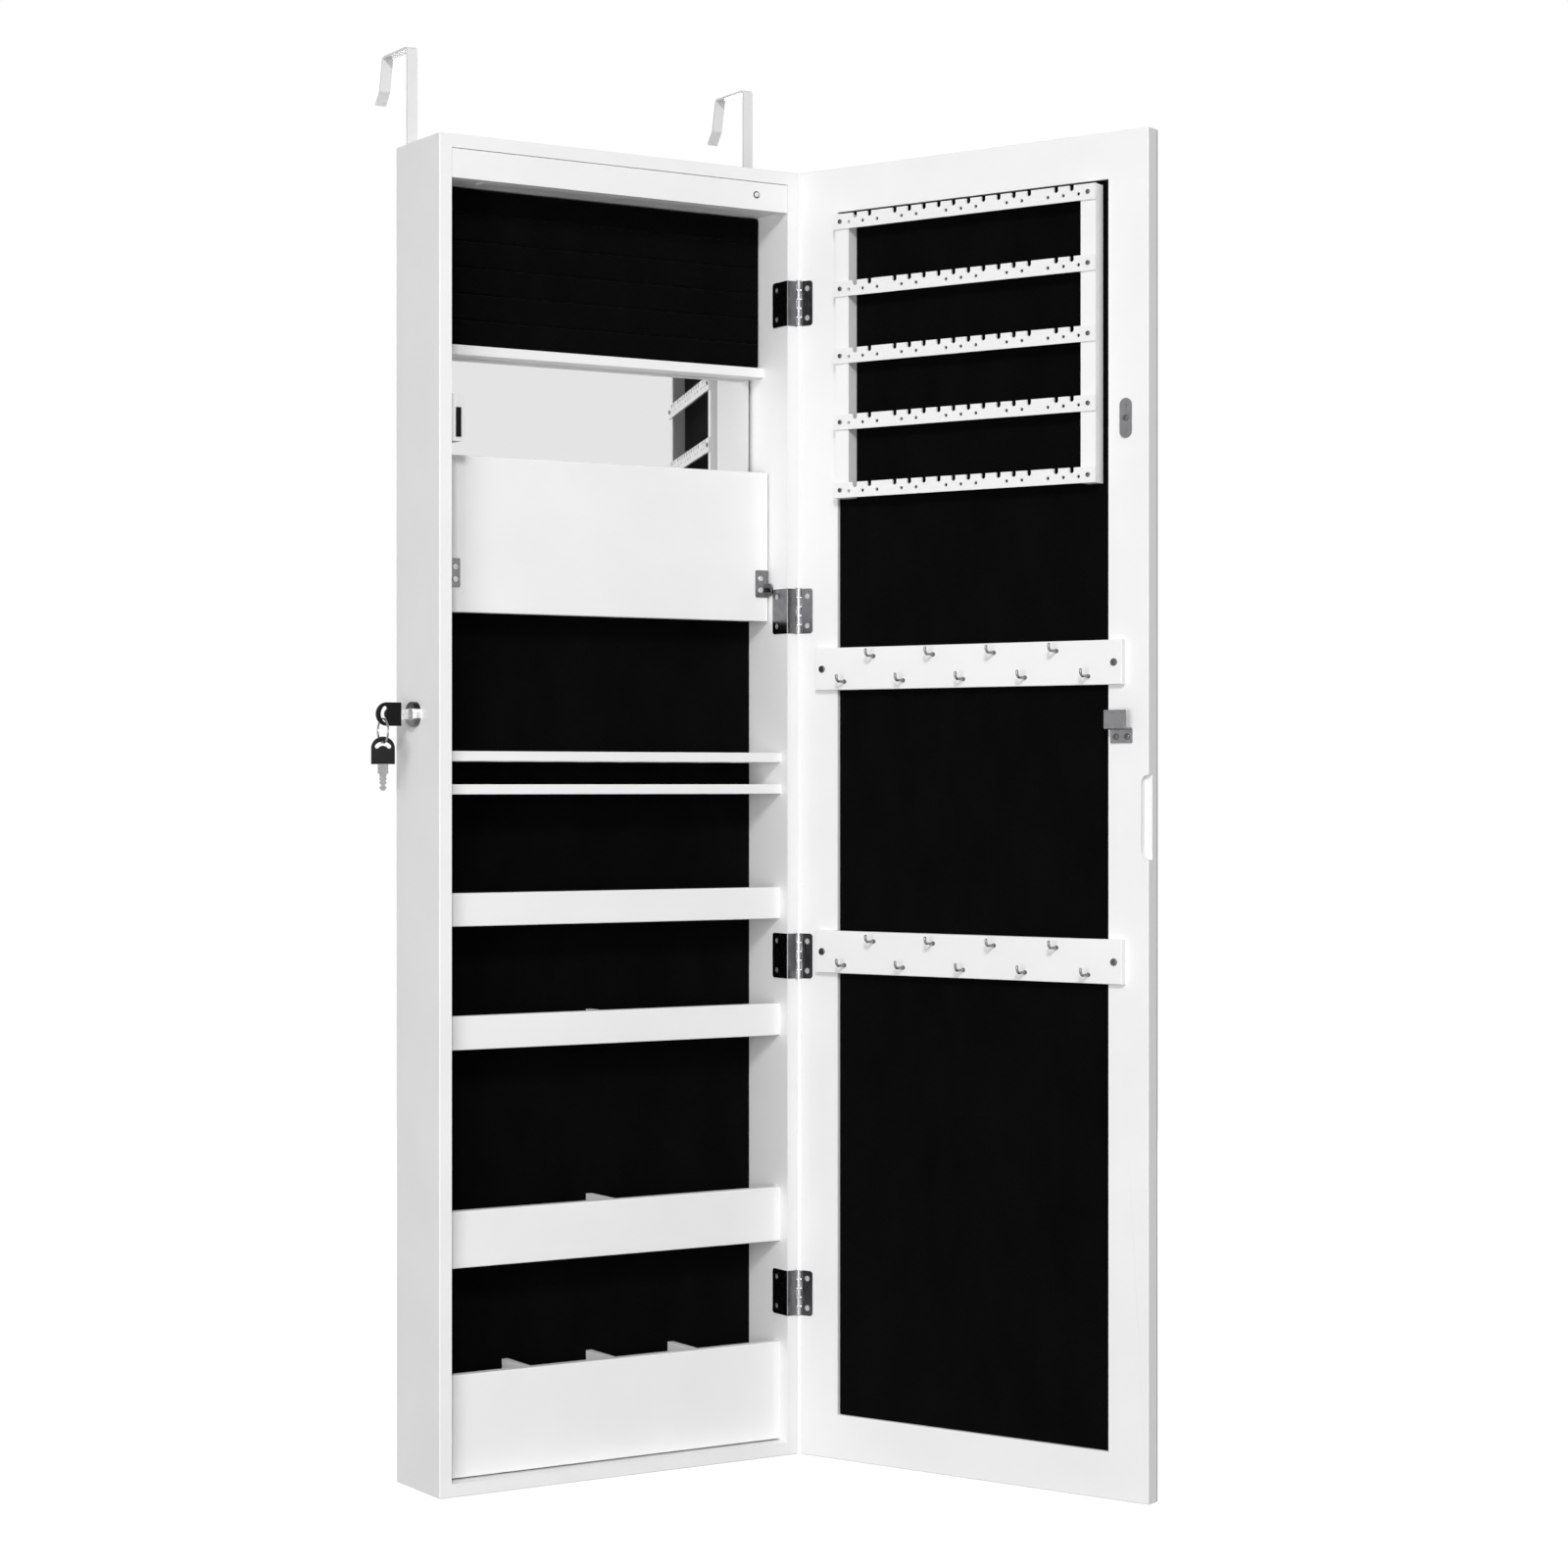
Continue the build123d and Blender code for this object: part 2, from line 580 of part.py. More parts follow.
def hinges():
    cabinet_leaves = []
    door_leaves = []
    pins = []
    clear_x = AXIS_X - KNUCKLE_RADIUS - KNUCKLE_ROOM
    clear_d = AXIS_X - clear_x
    for centre in HINGE_H:
        tall = around(centre, HINGE_TALL / 2)
        bore = rod(spot(AXIS_X, AXIS_Y, tall[0] - 1), spot(AXIS_X, AXIS_Y, tall[1] + 1),
                   HINGE_PIN_RADIUS + PIN_CLEARANCE)
        leaf = board((INSIDE[1] - LEAF, INSIDE[1]), (-LEAF, LEAF_DEEP_Y), tall)
        leaf = fillet(leaf.edges().filter_by(Axis.X).group_by(Axis.Y)[-1], LEAF_CORNER)
        leaf += board((INSIDE[1] - LEAF, clear_x), (-LEAF, 0), tall)
        leaf = fillet(leaf.edges().filter_by(Axis.Z).group_by(Axis.Y)[0].sort_by(Axis.X)[0], LEAF * 0.9)
        for span in knuckle_spans(centre, 0):
            leaf += hinge_line(span) + board((clear_x - 1, AXIS_X), (-LEAF, 0), span)
        cabinet_leaves.append(countersunk(leaf - bore, leaf_heads, LEFT, SHORT_SCREW))

        leaf = door_board(DOOR_LEAF_D, (0, LEAF), tall)
        leaf = fillet(leaf.edges().filter_by(Axis.Y).group_by(Axis.X)[0], LEAF_CORNER)
        for span in knuckle_spans(centre, 1):
            leaf += hinge_line(span) + door_board((0, clear_d + 1), (0, LEAF), span)
        door_leaves.append(countersunk(leaf - bore, door_leaf_heads, BACK, SHORT_SCREW))

        pin = rod(spot(AXIS_X, AXIS_Y, tall[0]), spot(AXIS_X, AXIS_Y, tall[1]), HINGE_PIN_RADIUS)
        for end, step in ((tall[0], -PIN_HEAD_THICK), (tall[1], PIN_HEAD_THICK)):
            pin += rod(spot(AXIS_X, AXIS_Y, end), spot(AXIS_X, AXIS_Y, end + step), PIN_HEAD_RADIUS)
        pins.append(pin)
    return {
        "hinge_cabinet_leaves": Compound(cabinet_leaves),
        "hinge_door_leaves": Compound(opened(door_leaves)),
        "hinge_pins": Compound(pins),
    }


# Cam lock in the left panel

def lock():
    face_x = -LOCK_PROUD

    def on_axis(x):
        return spot(x, LOCK_Y, LOCK_H)

    body = rod(on_axis(face_x), on_axis(0), FLANGE_RADIUS)
    body = fillet(body.edges().group_by(Axis.X)[0], EASE)
    body += rod(on_axis(0), on_axis(BARREL_END_X), BARREL_RADIUS)
    body -= rod(on_axis(face_x - 1), on_axis(BARREL_END_X + 1), PLUG_RADIUS + PLUG_CLEARANCE)

    seat = Plane(on_axis(BOARD), x_dir=BACK, z_dir=-LEFT)
    nut = extrude(seat * (RegularPolygon(NUT_ACROSS / 2, 6, major_radius=False) - Circle(BARREL_RADIUS)),
                  NUT_THICK)

    cam_plane = Plane(on_axis(CAM_X[0]), x_dir=UP, z_dir=-LEFT)
    cam_thick = CAM_X[1] - CAM_X[0]
    arm = Polyline(
        (0, CAM_NECK), (CAM_ARM_START, CAM_ARM_HIGH), (CAM_TIP_FRONT, CAM_ARM_HIGH),
        (CAM_TIP_FRONT, CAM_TIP_LOW), (CAM_TIP_BACK, CAM_TIP_LOW), (CAM_TIP_BACK, CAM_ARM_LOW),
        (CAM_CROOK, CAM_ARM_LOW), (CAM_ARM_START, -CAM_NECK), (0, -CAM_NECK), close=True,
    )
    # In the cam's plane the arm runs up and its hooked side looks back, so the outline is mirrored.
    outline = mirror(make_face(arm), Plane.XZ) + Circle(CAM_HUB_RADIUS)
    tail = Rectangle(TAIL_SIDE, TAIL_SIDE)
    cam = extrude(cam_plane * (outline - tail), cam_thick)

    head_x = CAM_X[1]
    plug = rod(on_axis(face_x), on_axis(PLUG_END_X), PLUG_RADIUS)
    plug += extrude(Plane(on_axis(PLUG_END_X), x_dir=UP, z_dir=-LEFT) * tail, head_x - PLUG_END_X)
    keyway_tall = (BLADE_TALL / 2 + KEYWAY_ROOM)
    keyway_thick = BLADE_THICK / 2 + KEYWAY_ROOM
    keyway_end = BOW_FLAT_X + SHOULDER_LONG + BLADE_LONG + KEYWAY_ROOM
    plug -= board((face_x - 1, keyway_end), around(LOCK_Y, keyway_thick), around(LOCK_H, keyway_tall))
    return {
        "lock_body": body,
        "lock_nut": nut,
        "lock_cam": cam,
        "lock_plug": bored(plug, [on_axis(head_x)], -LEFT, SHORT_SCREW),
        "cam_screw": screw(on_axis(head_x), -LEFT, SHORT_SCREW),
    }


# Keys: a flat steel blade in a black moulded bow with a crescent slot for the ring

def key(flat_end, blade_way, up_way):
    """One key from the middle of its bow's flat end, along its blade."""
    plane = Plane(flat_end, x_dir=blade_way, z_dir=blade_way.cross(up_way))
    round_x = BOW_HALF - BOW_LONG
    bow = make_face([
        Line((0, -BOW_HALF), (0, BOW_HALF)),
        Line((0, BOW_HALF), (round_x, BOW_HALF)),
        ThreePointArc((round_x, BOW_HALF), (-BOW_LONG, 0), (round_x, -BOW_HALF)),
        Line((round_x, -BOW_HALF), (0, -BOW_HALF)),
    ])
    slot_arc = CenterArc((-SLOT_CENTRE, 0), (SLOT_OUTER + SLOT_INNER) / 2,
                         180 - SLOT_HALF_ANGLE, 2 * SLOT_HALF_ANGLE)
    slot = SlotArc(slot_arc, SLOT_OUTER - SLOT_INNER)
    bow = extrude(plane * (bow - slot), BOW_THICK / 2, both=True)
    across = plane.z_dir
    rims = bow.faces().filter_by(Plane(flat_end, z_dir=across)).edges()
    bow = fillet(rims, BOW_EDGE)

    shoulder = Pos((SHOULDER_LONG - TANG_LONG) / 2, 0) * Rectangle(SHOULDER_LONG + TANG_LONG, SHOULDER_TALL)
    blade = Pos(SHOULDER_LONG + BLADE_LONG / 2, 0) * Rectangle(BLADE_LONG, BLADE_TALL)
    blade = chamfer(blade.vertices().group_by(Axis.X)[-1], BLADE_TALL / 3)
    for along, deep in BITES:
        bite = Rot(0, 0, 45) * Rectangle(deep * 2 ** 0.5, deep * 2 ** 0.5)
        blade -= [Pos(SHOULDER_LONG + along, side * BLADE_TALL / 2) * bite for side in (-1, 1)]
    metal = extrude(plane * (shoulder + blade), BLADE_THICK / 2, both=True)
    return metal, bow - metal


def keys():
    key_blade, key_bow = key(spot(BOW_FLAT_X, LOCK_Y, LOCK_H), -LEFT, UP)
    ring_x = BOW_FLAT_X - RING_SIDE
    ring_h = LOCK_H - RING_DROP - RING_RADIUS
    ring = Plane(spot(ring_x, LOCK_Y, ring_h), z_dir=-LEFT) * Torus(RING_RADIUS, RING_WIRE)
    wire_depth = SLOT_CENTRE + SLOT_OUTER - RING_WIRE - SPARE_WIRE_ROOM
    spare_h = ring_h - RING_RADIUS - wire_depth
    spare_side = LEFT.rotate(Axis.Z, -SPARE_TURN)
    spare_blade, spare_bow = key(spot(ring_x, LOCK_Y, spare_h), -UP, spare_side)
    return {
        "key_blade": key_blade,
        "key_bow": key_bow,
        "key_ring": ring,
        "spare_key_blade": spare_blade,
        "spare_key_bow": spare_bow,
    }


# Magnetic catch on the left wall

def catch():
    magnet = board(MAGNET_X, MAGNET_Y, MAGNET_H)
    body = board((INSIDE[0], INSIDE[0] + CATCH_WIDE), CATCH_Y, CATCH_H)
    body = fillet(body.edges().filter_by(Axis.Y).group_by(Axis.X)[-1], EASE * 2)
    return {"catch_body": body - magnet, "catch_magnet": magnet}


# Door: four frame boards around a velvet panel, with a mirror outside

def door():
    frame_d = (DOOR_EDGE_D, DOOR_WIDE_D)
    frame_off = (-DOOR_FRAME_THICK, 0)
    slab = door_board(frame_d, frame_off, (0, HEIGHT))
    slab = fillet(slab.edges().group_by(Axis.Y)[-1], EASE)
    for h in HINGE_H:
        slab -= hinge_room(h)
    scoop_plane = Plane(door_spot(DOOR_WIDE_D, 0, sum(SCOOP_H) / 2), x_dir=-LEFT, z_dir=FRONT)
    scoop = SlotOverall(SCOOP_H[1] - SCOOP_H[0], SCOOP_WIDE * 2, rotation=90)
    slab -= extrude(scoop_plane * scoop, SCOOP_DEEP)
    slab = countersunk(slab, door_leaf_heads, BACK, SHORT_SCREW)
    slab = bored(slab, hook_bar_heads, BACK, LONG_SCREW)
    slab = bored(slab, keep_heads + strike_heads, BACK, SHORT_SCREW)
    spans = (
        ((DOOR_EDGE_D, OPENING_D[0]), (0, HEIGHT)),
        ((OPENING_D[1], DOOR_WIDE_D), (0, HEIGHT)),
        (OPENING_D, (0, OPENING_H[0])),
        (OPENING_D, (OPENING_H[1], HEIGHT)),
    )
    members = [slab & door_board(d, frame_off, h) for d, h in spans]

    lining = door_board(OPENING_D, (-DOOR_FRAME_THICK, -DOOR_LINING_DROP), OPENING_H)
    inset = DOOR_MIRROR_INSET
    glass = door_board((DOOR_EDGE_D + inset, DOOR_WIDE_D - inset),
                       (-DOOR_FRAME_THICK - DOOR_MIRROR_THICK, -DOOR_FRAME_THICK), (inset, HEIGHT - inset))
    glass = chamfer(glass.edges().group_by(Axis.Y)[0], EASE / 2)
    return {
        "door_frame": Compound(opened(members)),
        "door_lining": opened([lining])[0],
        "door_mirror": opened([glass])[0],
    }


def earring_rack():
    post_h = (BAR_H[0] - BAR_TALL / 2, BAR_H[-1] + BAR_TALL / 2)
    posts = []
    for d in POST_D:
        post = door_board(d, (-DOOR_LINING_DROP, POST_FRONT), post_h)
        posts.append(bored(post, bar_heads, BACK, SHORT_SCREW))
    outline = Rectangle(BAR_D[1] - BAR_D[0], BAR_TALL)
    notch = SlotOverall(NOTCH_DEEP * 2, NOTCH_WIDE, rotation=90)
    for out in NOTCH_OUT:
        outline -= [Pos(side * out, BAR_TALL / 2) * notch for side in (-1, 1)]
    for out in EARRING_HOLE_OUT:
        outline -= [Pos(side * out, -EARRING_HOLE_DROP) * Circle(EARRING_HOLE_RADIUS) for side in (-1, 1)]
    outline -= Pos(0, -EARRING_HOLE_DROP) * Circle(EARRING_HOLE_RADIUS)
    bars = []
    for h in BAR_H:
        face = Plane(door_spot(bar_middle_d, POST_FRONT, h), x_dir=-LEFT, z_dir=FRONT)
        bar = extrude(face * outline, -BAR_THICK)
        bars.append(bored(bar, bar_heads, BACK, SHORT_SCREW))
    return {"earring_posts": Compound(opened(posts)), "earring_bars": Compound(opened(bars))}


def necklace_hook(d, h):
    """A bent wire hook with a collar, set in the face of its bar."""
    root = door_spot(d, HOOK_BAR_THICK, h)
    path = FilletPolyline(root + FRONT * HOOK_ROOT, root + BACK * HOOK_REACH,
                          root + BACK * HOOK_REACH + UP * HOOK_RISE, radius=HOOK_BEND)
    hook = sweep(Plane(path @ 0, z_dir=path % 0) * Circle(HOOK_WIRE), path)
    hook += rod(root, root + BACK * HOOK_COLLAR_THICK, HOOK_COLLAR_RADIUS)
    return hook + Pos(*(path @ 1)) * Sphere(HOOK_WIRE)


def hook_rail():
    places = []
    for centre in HOOK_BAR_H:
        for count, rise in HOOK_ROWS:
            for n in range(count):
                d = sum(HOOK_BAR_D) / 2 + HOOK_PITCH * (n - (count - 1) / 2)
                places.append((d, centre + rise))
    bars = []
    for centre in HOOK_BAR_H:
        bar = door_board(HOOK_BAR_D, (0, HOOK_BAR_THICK), around(centre, HOOK_BAR_TALL / 2))
        bar = fillet(bar.edges().group_by(Axis.Y)[-1], EASE)
        for d, h in places:
            root = door_spot(d, HOOK_BAR_THICK, h)
            bar -= rod(root + BACK, root + FRONT * HOOK_ROOT, HOOK_WIRE)
        bars.append(bored(bar, hook_bar_heads, BACK, LONG_SCREW))
    hooks = [necklace_hook(d, h) for d, h in places]
    return {"hook_bars": Compound(opened(bars)), "jewelry_hooks": Compound(opened(hooks))}


def door_hardware():
    plate_plane = Plane(door_spot(STRIKE_D, 0, STRIKE_H), x_dir=-LEFT, z_dir=FRONT)
    strike = extrude(plate_plane * SlotOverall(STRIKE_TALL, STRIKE_WIDE, rotation=90), -STRIKE_THICK)
    for side in (-1, 1):
        pip = door_spot(STRIKE_D, STRIKE_THICK, STRIKE_H + side * STRIKE_PIP_RISE)
        strike += rod(pip, pip + BACK * STRIKE_THICK / 2, STRIKE_PIP_RADIUS)
    strike = bored(strike, strike_heads, BACK, SHORT_SCREW)

    half = KEEP_THICK / 2
    bend_h = KEEP_FOOT_H[1] - half
    path = FilletPolyline((half, KEEP_FOOT_H[0]), (half, bend_h), (KEEP_STAND - half, bend_h),
                          (KEEP_STAND - half, KEEP_TOP_H), radius=KEEP_THICK)
    side_plane = Plane(door_spot(KEEP_D[1], 0, 0), x_dir=BACK, z_dir=-LEFT)
    keep = extrude(side_plane * trace(path, KEEP_THICK), KEEP_D[1] - KEEP_D[0])
    keep = bored(keep, keep_heads, BACK, SHORT_SCREW)

    screws = [screw(head, BACK, LONG_SCREW, LARGE_HEAD_RADIUS) for head in hook_bar_heads]
    screws += [sunk_screw(head, BACK, SHORT_SCREW) for head in door_leaf_heads]
    screws += [screw(head, BACK, SHORT_SCREW, SMALL_HEAD_RADIUS) for head in bar_heads]
    screws += [screw(head, BACK, SHORT_SCREW) for head in keep_heads + strike_heads]
    return {
        "strike_plate": opened([strike])[0],
        "lock_keep": opened([keep])[0],
        "door_screws": Compound(opened(screws)),
    }


def cabinet_hardware():
    screws = [sunk_screw(head, LEFT, SHORT_SCREW) for head in leaf_heads]
    screws += [screw(head, UP, SHORT_SCREW) for head in strap_heads]
    return {
        "over_door_hook_left": over_door_hook(strap_centres[0]),
        "over_door_hook_right": over_door_hook(strap_centres[1]),
        "cabinet_screws": Compound(screws),
    }


os.makedirs("parts", exist_ok=True)
sections = (carcass, light_box, ring_display, racks_and_trays, flap, cabinet_hardware, hinges, lock, keys,
            catch, door, earring_rack, hook_rail, door_hardware)
for section in sections:
    for name, shape in section().items():
        export_step(shape, f"parts/{name}.step")
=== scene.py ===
"""Jewelry armoire that hangs over a room door: its finishes, soft pieces, light and camera.

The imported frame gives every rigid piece. The ring cushion, the velvet panels, the mirror on the door and
the split ring of the keys are modelled here.
"""

import json
import math

import bmesh
import bpy
from mathutils import Matrix, Vector, noise


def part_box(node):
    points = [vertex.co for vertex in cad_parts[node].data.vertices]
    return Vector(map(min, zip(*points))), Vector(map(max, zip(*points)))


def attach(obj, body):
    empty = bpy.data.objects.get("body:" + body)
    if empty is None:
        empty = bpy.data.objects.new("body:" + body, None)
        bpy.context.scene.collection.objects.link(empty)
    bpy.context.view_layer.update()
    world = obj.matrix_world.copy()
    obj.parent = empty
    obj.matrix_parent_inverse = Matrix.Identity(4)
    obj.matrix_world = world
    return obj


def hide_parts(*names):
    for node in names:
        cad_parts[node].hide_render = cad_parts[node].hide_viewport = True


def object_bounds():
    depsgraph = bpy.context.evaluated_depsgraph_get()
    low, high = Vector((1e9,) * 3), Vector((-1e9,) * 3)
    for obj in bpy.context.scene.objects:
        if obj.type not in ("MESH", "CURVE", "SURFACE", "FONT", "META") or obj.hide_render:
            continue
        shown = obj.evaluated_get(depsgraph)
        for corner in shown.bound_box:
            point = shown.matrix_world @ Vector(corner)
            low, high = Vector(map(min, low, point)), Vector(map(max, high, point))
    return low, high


bl_info = {
    "name": "Jewelry armoire",
    "version": (1, 0, 0),
    "blender": (4, 5, 0),
    "location": "View3D > Sidebar > Armoire",
    "description": "Finishes, soft pieces and stage of an over-door jewelry armoire",
    "category": "Object",
}

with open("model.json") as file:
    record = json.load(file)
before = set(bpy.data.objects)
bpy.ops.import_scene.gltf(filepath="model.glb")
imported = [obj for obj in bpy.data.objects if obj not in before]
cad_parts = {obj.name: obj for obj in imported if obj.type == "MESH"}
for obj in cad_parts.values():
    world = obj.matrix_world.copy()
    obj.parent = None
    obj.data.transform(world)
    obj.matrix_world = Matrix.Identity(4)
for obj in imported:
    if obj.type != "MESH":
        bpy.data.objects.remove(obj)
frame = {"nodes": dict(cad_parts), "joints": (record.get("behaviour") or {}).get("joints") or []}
CAD_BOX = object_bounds()
MM = 0.001


def linear(code):
    """An sRGB hex colour as the linear values that shaders take."""
    parts = [int(code[n:n + 2], 16) / 255 for n in (1, 3, 5)]
    return tuple(p / 12.92 if p <= 0.04045 else ((p + 0.055) / 1.055) ** 2.4 for p in parts) + (1.0,)


def colour(label, about, code):
    return bpy.props.FloatVectorProperty(
        name=label, description=about, subtype="COLOR", size=4, min=0.0, max=1.0, default=linear(code))


def length(label, about, millimetres):
    return bpy.props.FloatProperty(
        name=label, description=about, subtype="DISTANCE", unit="LENGTH", min=0.0, default=millimetres * MM)


def share(label, about, value):
    return bpy.props.FloatProperty(
        name=label, description=about, subtype="FACTOR", min=0.0, max=1.0, default=value)


def direction(label, about, way):
    return bpy.props.FloatVectorProperty(name=label, description=about, subtype="DIRECTION", default=way)


def power(label, about, watts):
    return bpy.props.FloatProperty(
        name=label, description=about, subtype="POWER", unit="POWER", default=watts)


class ArmoireFinishes(bpy.types.PropertyGroup):
    """Colours of the armoire's materials."""

    lacquer: colour("Lacquer", "White lacquer on the boards", "#F0F0F0")
    lacquer_shade: colour("Lacquer shade", "Thinner patches of the lacquer", "#ECECEC")
    # The greyer tone of the door's free edge is painted shade.
    painted_edge_shade: colour("Edging", "Plastic edging on the free edge of the door", "#ECECEC")
    back_board: colour("Back board", "Faced hardboard of the back", "#E6E5E1")
    velvet: colour("Velvet", "Black pile", "#070708")
    velvet_nap: colour("Velvet nap", "Pile that leans towards the light", "#0D0D0E")
    # A paler tone of the pile along the cushion's slits and at its tucks.
    velvet_slit_pale: colour("Pulled velvet", "Backing that shows where the slits pull the pile", "#1C1C1E")
    silver: colour("Silver", "Silvering behind the mirrors", "#E4E4E4")
    glass_edge: colour("Glass edge", "Ground edge of the mirror", "#C8CACA")
    white_plastic: colour("White plastic", "Earring bars and the battery cover", "#F0F0F0")
    grey_plastic: colour("Grey plastic", "Catch, stops and switch plunger", "#E2E2E2")
    black_plastic: colour("Black plastic", "Key bows, pivots and switch", "#0B0B0C")
    frosted: colour("Frosted cover", "Cover of the light", "#ECECEB")
    solder_mask: colour("Solder mask", "Board of the light", "#E9E9E4")
    powder_coat: colour("Powder coat", "Over-door hooks", "#E3E3E3")
    nickel: colour("Nickel", "Strike plate, keep, flap brackets, nut and cam", "#88888A")
    hinge_steel: colour("Hinge steel", "Leaves of the hinges", "#8A8A8D")
    zinc: colour("Zinc", "Screws", "#D6D6D7")
    # The knuckles and pins are a lighter copy of the hinge steel: painted highlight.
    barrel_painted_highlight: colour("Barrel", "Knuckles and pins of the hinges", "#C2C2C4")
    rack_screw: colour("Rack screws", "Screws of the racks and plates on the door", "#68686A")
    hook_wire: colour("Hook wire", "Necklace hooks", "#8C8C8E")
    # The lock's chrome carries a painted reflection: a dark tone painted above a bright band and a grey one
    # below it.
    chrome: colour("Chrome", "Lock, where it mirrors the bright room", "#F2F2F3")
    chrome_painted_dark_above: colour("Chrome above", "Lock, above its bright band", "#2C2C2E")
    chrome_painted_grey_below: colour("Chrome below", "Lock, below its bright band", "#6A6A6C")
    plug: colour("Plug", "Plug of the lock", "#8A8A8C")
    key_steel: colour("Key steel", "Blade of the spare key and the split ring", "#A0A0A2")
    # The blade of the key in the lock is the spare key's steel drawn brighter: painted reflection.
    key_painted_reflection: colour("Key polish", "Blade of the key in the lock", "#F0F0F0")
    ferrite: colour("Ferrite", "Magnet of the catch", "#0C0C0D")


class ArmoireSizes(bpy.types.PropertyGroup):
    """Sizes of the modelled pieces and of the patterns in the materials."""

    peel: length("Peel", "Spacing of the lacquer's orange peel", 1.6)
    cloud: length("Cloud", "Size of the lacquer's thin patches", 85.0)
    pile: length("Pile", "Tuft size of the velvet, drawn coarser than the real pile so that it shows", 1.1)
    nap: length("Nap", "Size of the brushed patches of the velvet", 34.0)
    panel_round: length("Panel round", "Rounding of the velvet panels at their edges", 1.4)
    panel_swell: length("Panel swell", "How far the velvet panels are off flat", 0.14)
    pad_shrink: length("Pad shrink", "How much smaller the cushion is before it swells", 0.4)
    pad_round: length("Pad round", "Rounding of the cushion's front edges", 0.9)
    pad_grain: length("Pad grain", "Spacing of the cushion's mesh away from its slits", 4.6)
    pad_cap: length("Pad cap", "How far a point of the cushion may swell", 1.0)
    pad_clear: length("Pad clearance", "Room between the cushion and what is around it", 0.2)
    slit_deep: length("Slit depth", "Depth of the ring slits", 4.5)
    slit_wide: length("Slit width", "Half width of the ring slits", 0.7)
    slit_end: length("Slit end", "Length over which a slit runs out at the cushion's sides", 7.0)
    tuck_pitch: length("Tuck pitch", "Spacing of the tucks along a slit", 26.6)
    tuck_long: length("Tuck length", "Half length of a tuck across a slit", 3.2)
    tuck_wide: length("Tuck width", "Half width of a tuck", 1.6)
    tuck_deep: length("Tuck depth", "Depth of a tuck", 0.5)
    # Ends of the bright band between the painted dark reflections on the lock.
    painted_band_top: length("Band top", "Upper end of the lock's bright band, above its axis", 4.8)
    painted_band_foot: length("Band foot", "Lower end of the lock's bright band, below its axis", 3.6)
    painted_band_soft: length("Band softness", "Half of the change at an end of the lock's bright band", 0.4)
    glass_chamfer: length("Glass chamfer", "Ground corner of the door's mirror", 0.6)
    # Reach of the painted highlight on the hinge knuckles.
    painted_highlight_reach: length("Barrel reach", "Faces this near the hinge line belong to the barrel", 3.0)
    leaf_reach: length("Leaf reach", "Door screws this near the hinge line are the hinges' own", 25.0)


class ArmoireStage(bpy.types.PropertyGroup):
    """Camera, lamps, light of the room and floor."""

    camera_place: bpy.props.FloatVectorProperty(
        name="Camera place", description="Where the camera stands", subtype="TRANSLATION", unit="LENGTH",
        default=(-1.4706, -2.7084, -0.6602))
    camera_turn: bpy.props.FloatProperty(
        name="Camera turn", description="Heading of the level camera", subtype="ANGLE", unit="ROTATION",
        default=math.radians(-32.056))
    camera_lens: bpy.props.FloatProperty(
        name="Lens", description="Focal length on a 36 mm sensor", subtype="DISTANCE_CAMERA",
        unit="CAMERA", default=75.963)
    key_way: direction("Key direction", "Where the main lamp stands, seen from the cabinet",
                       (-0.467, -0.766, 0.443))
    key_far: length("Key distance", "How far the main lamp is", 7000.0)
    key_wide: length("Key width", "Side of the main lamp", 1050.0)
    key_watts: power("Key power", "Power of the main lamp in watts", 218.0)
    fill_way: direction("Fill direction", "Where the second lamp stands, seen from the cabinet",
                        (-0.78, -0.61, -0.03))
    fill_far: length("Fill distance", "How far the second lamp and the one behind are", 3000.0)
    fill_wide: length("Fill width", "Side of the second lamp and the one behind", 1100.0)
    fill_watts: power("Fill power", "Power of the second lamp in watts", 32.0)
    back_way: direction("Back direction", "Where the lamp behind stands, seen from the cabinet",
                        (0.55, 0.83, 0.1))
    back_watts: power("Back power", "Power of the lamp behind in watts", 70.0)
    ambient_way: direction("Ambient direction", "The side from which the room is brightest",
                           (-0.3, -0.954, 0.0))
    ambient_near: share("Ambient near", "Light of the room from its bright side", 0.76)
    ambient_far: share("Ambient far", "Light of the room from the other side", 0.10)
    floor_colour: colour("Floor", "Plain pale floor", "#909090")
    floor_glow: share("Floor glow", "How much of the floor's white is its own", 0.96)


finishes = None
sizes = None


# Helpers for materials

def add(tree, kind, inputs=None, **settings):
    """Adds a node with its settings; an input is a value or the socket that feeds it."""
    node = tree.nodes.new(kind)
    for key, value in settings.items():
        setattr(node, key, value)
    for key, value in (inputs or {}).items():
        if isinstance(value, bpy.types.NodeSocket):
            tree.links.new(value, node.inputs[key])
        else:
            node.inputs[key].default_value = value
    return node


def start_material(name):
    """An empty material, its node tree and its object coordinates."""
    material = bpy.data.materials.new(name)
    material.use_nodes = True
    tree = material.node_tree
    tree.nodes.clear()
    place = add(tree, "ShaderNodeTexCoord").outputs["Object"]
    return material, tree, place


def finish_material(tree, inputs):
    """Ends a material's tree with a principled shader that takes these inputs."""
    shader = add(tree, "ShaderNodeBsdfPrincipled", inputs)
    add(tree, "ShaderNodeOutputMaterial", {"Surface": shader.outputs["BSDF"]})


def per(size):
    """The texture scale whose features are about this many metres across."""
    return 1.0 / size


def dimmed(tone, part):
    """A colour that is darker by a factor."""
    return tuple(part * value for value in tone[:3]) + (1.0,)


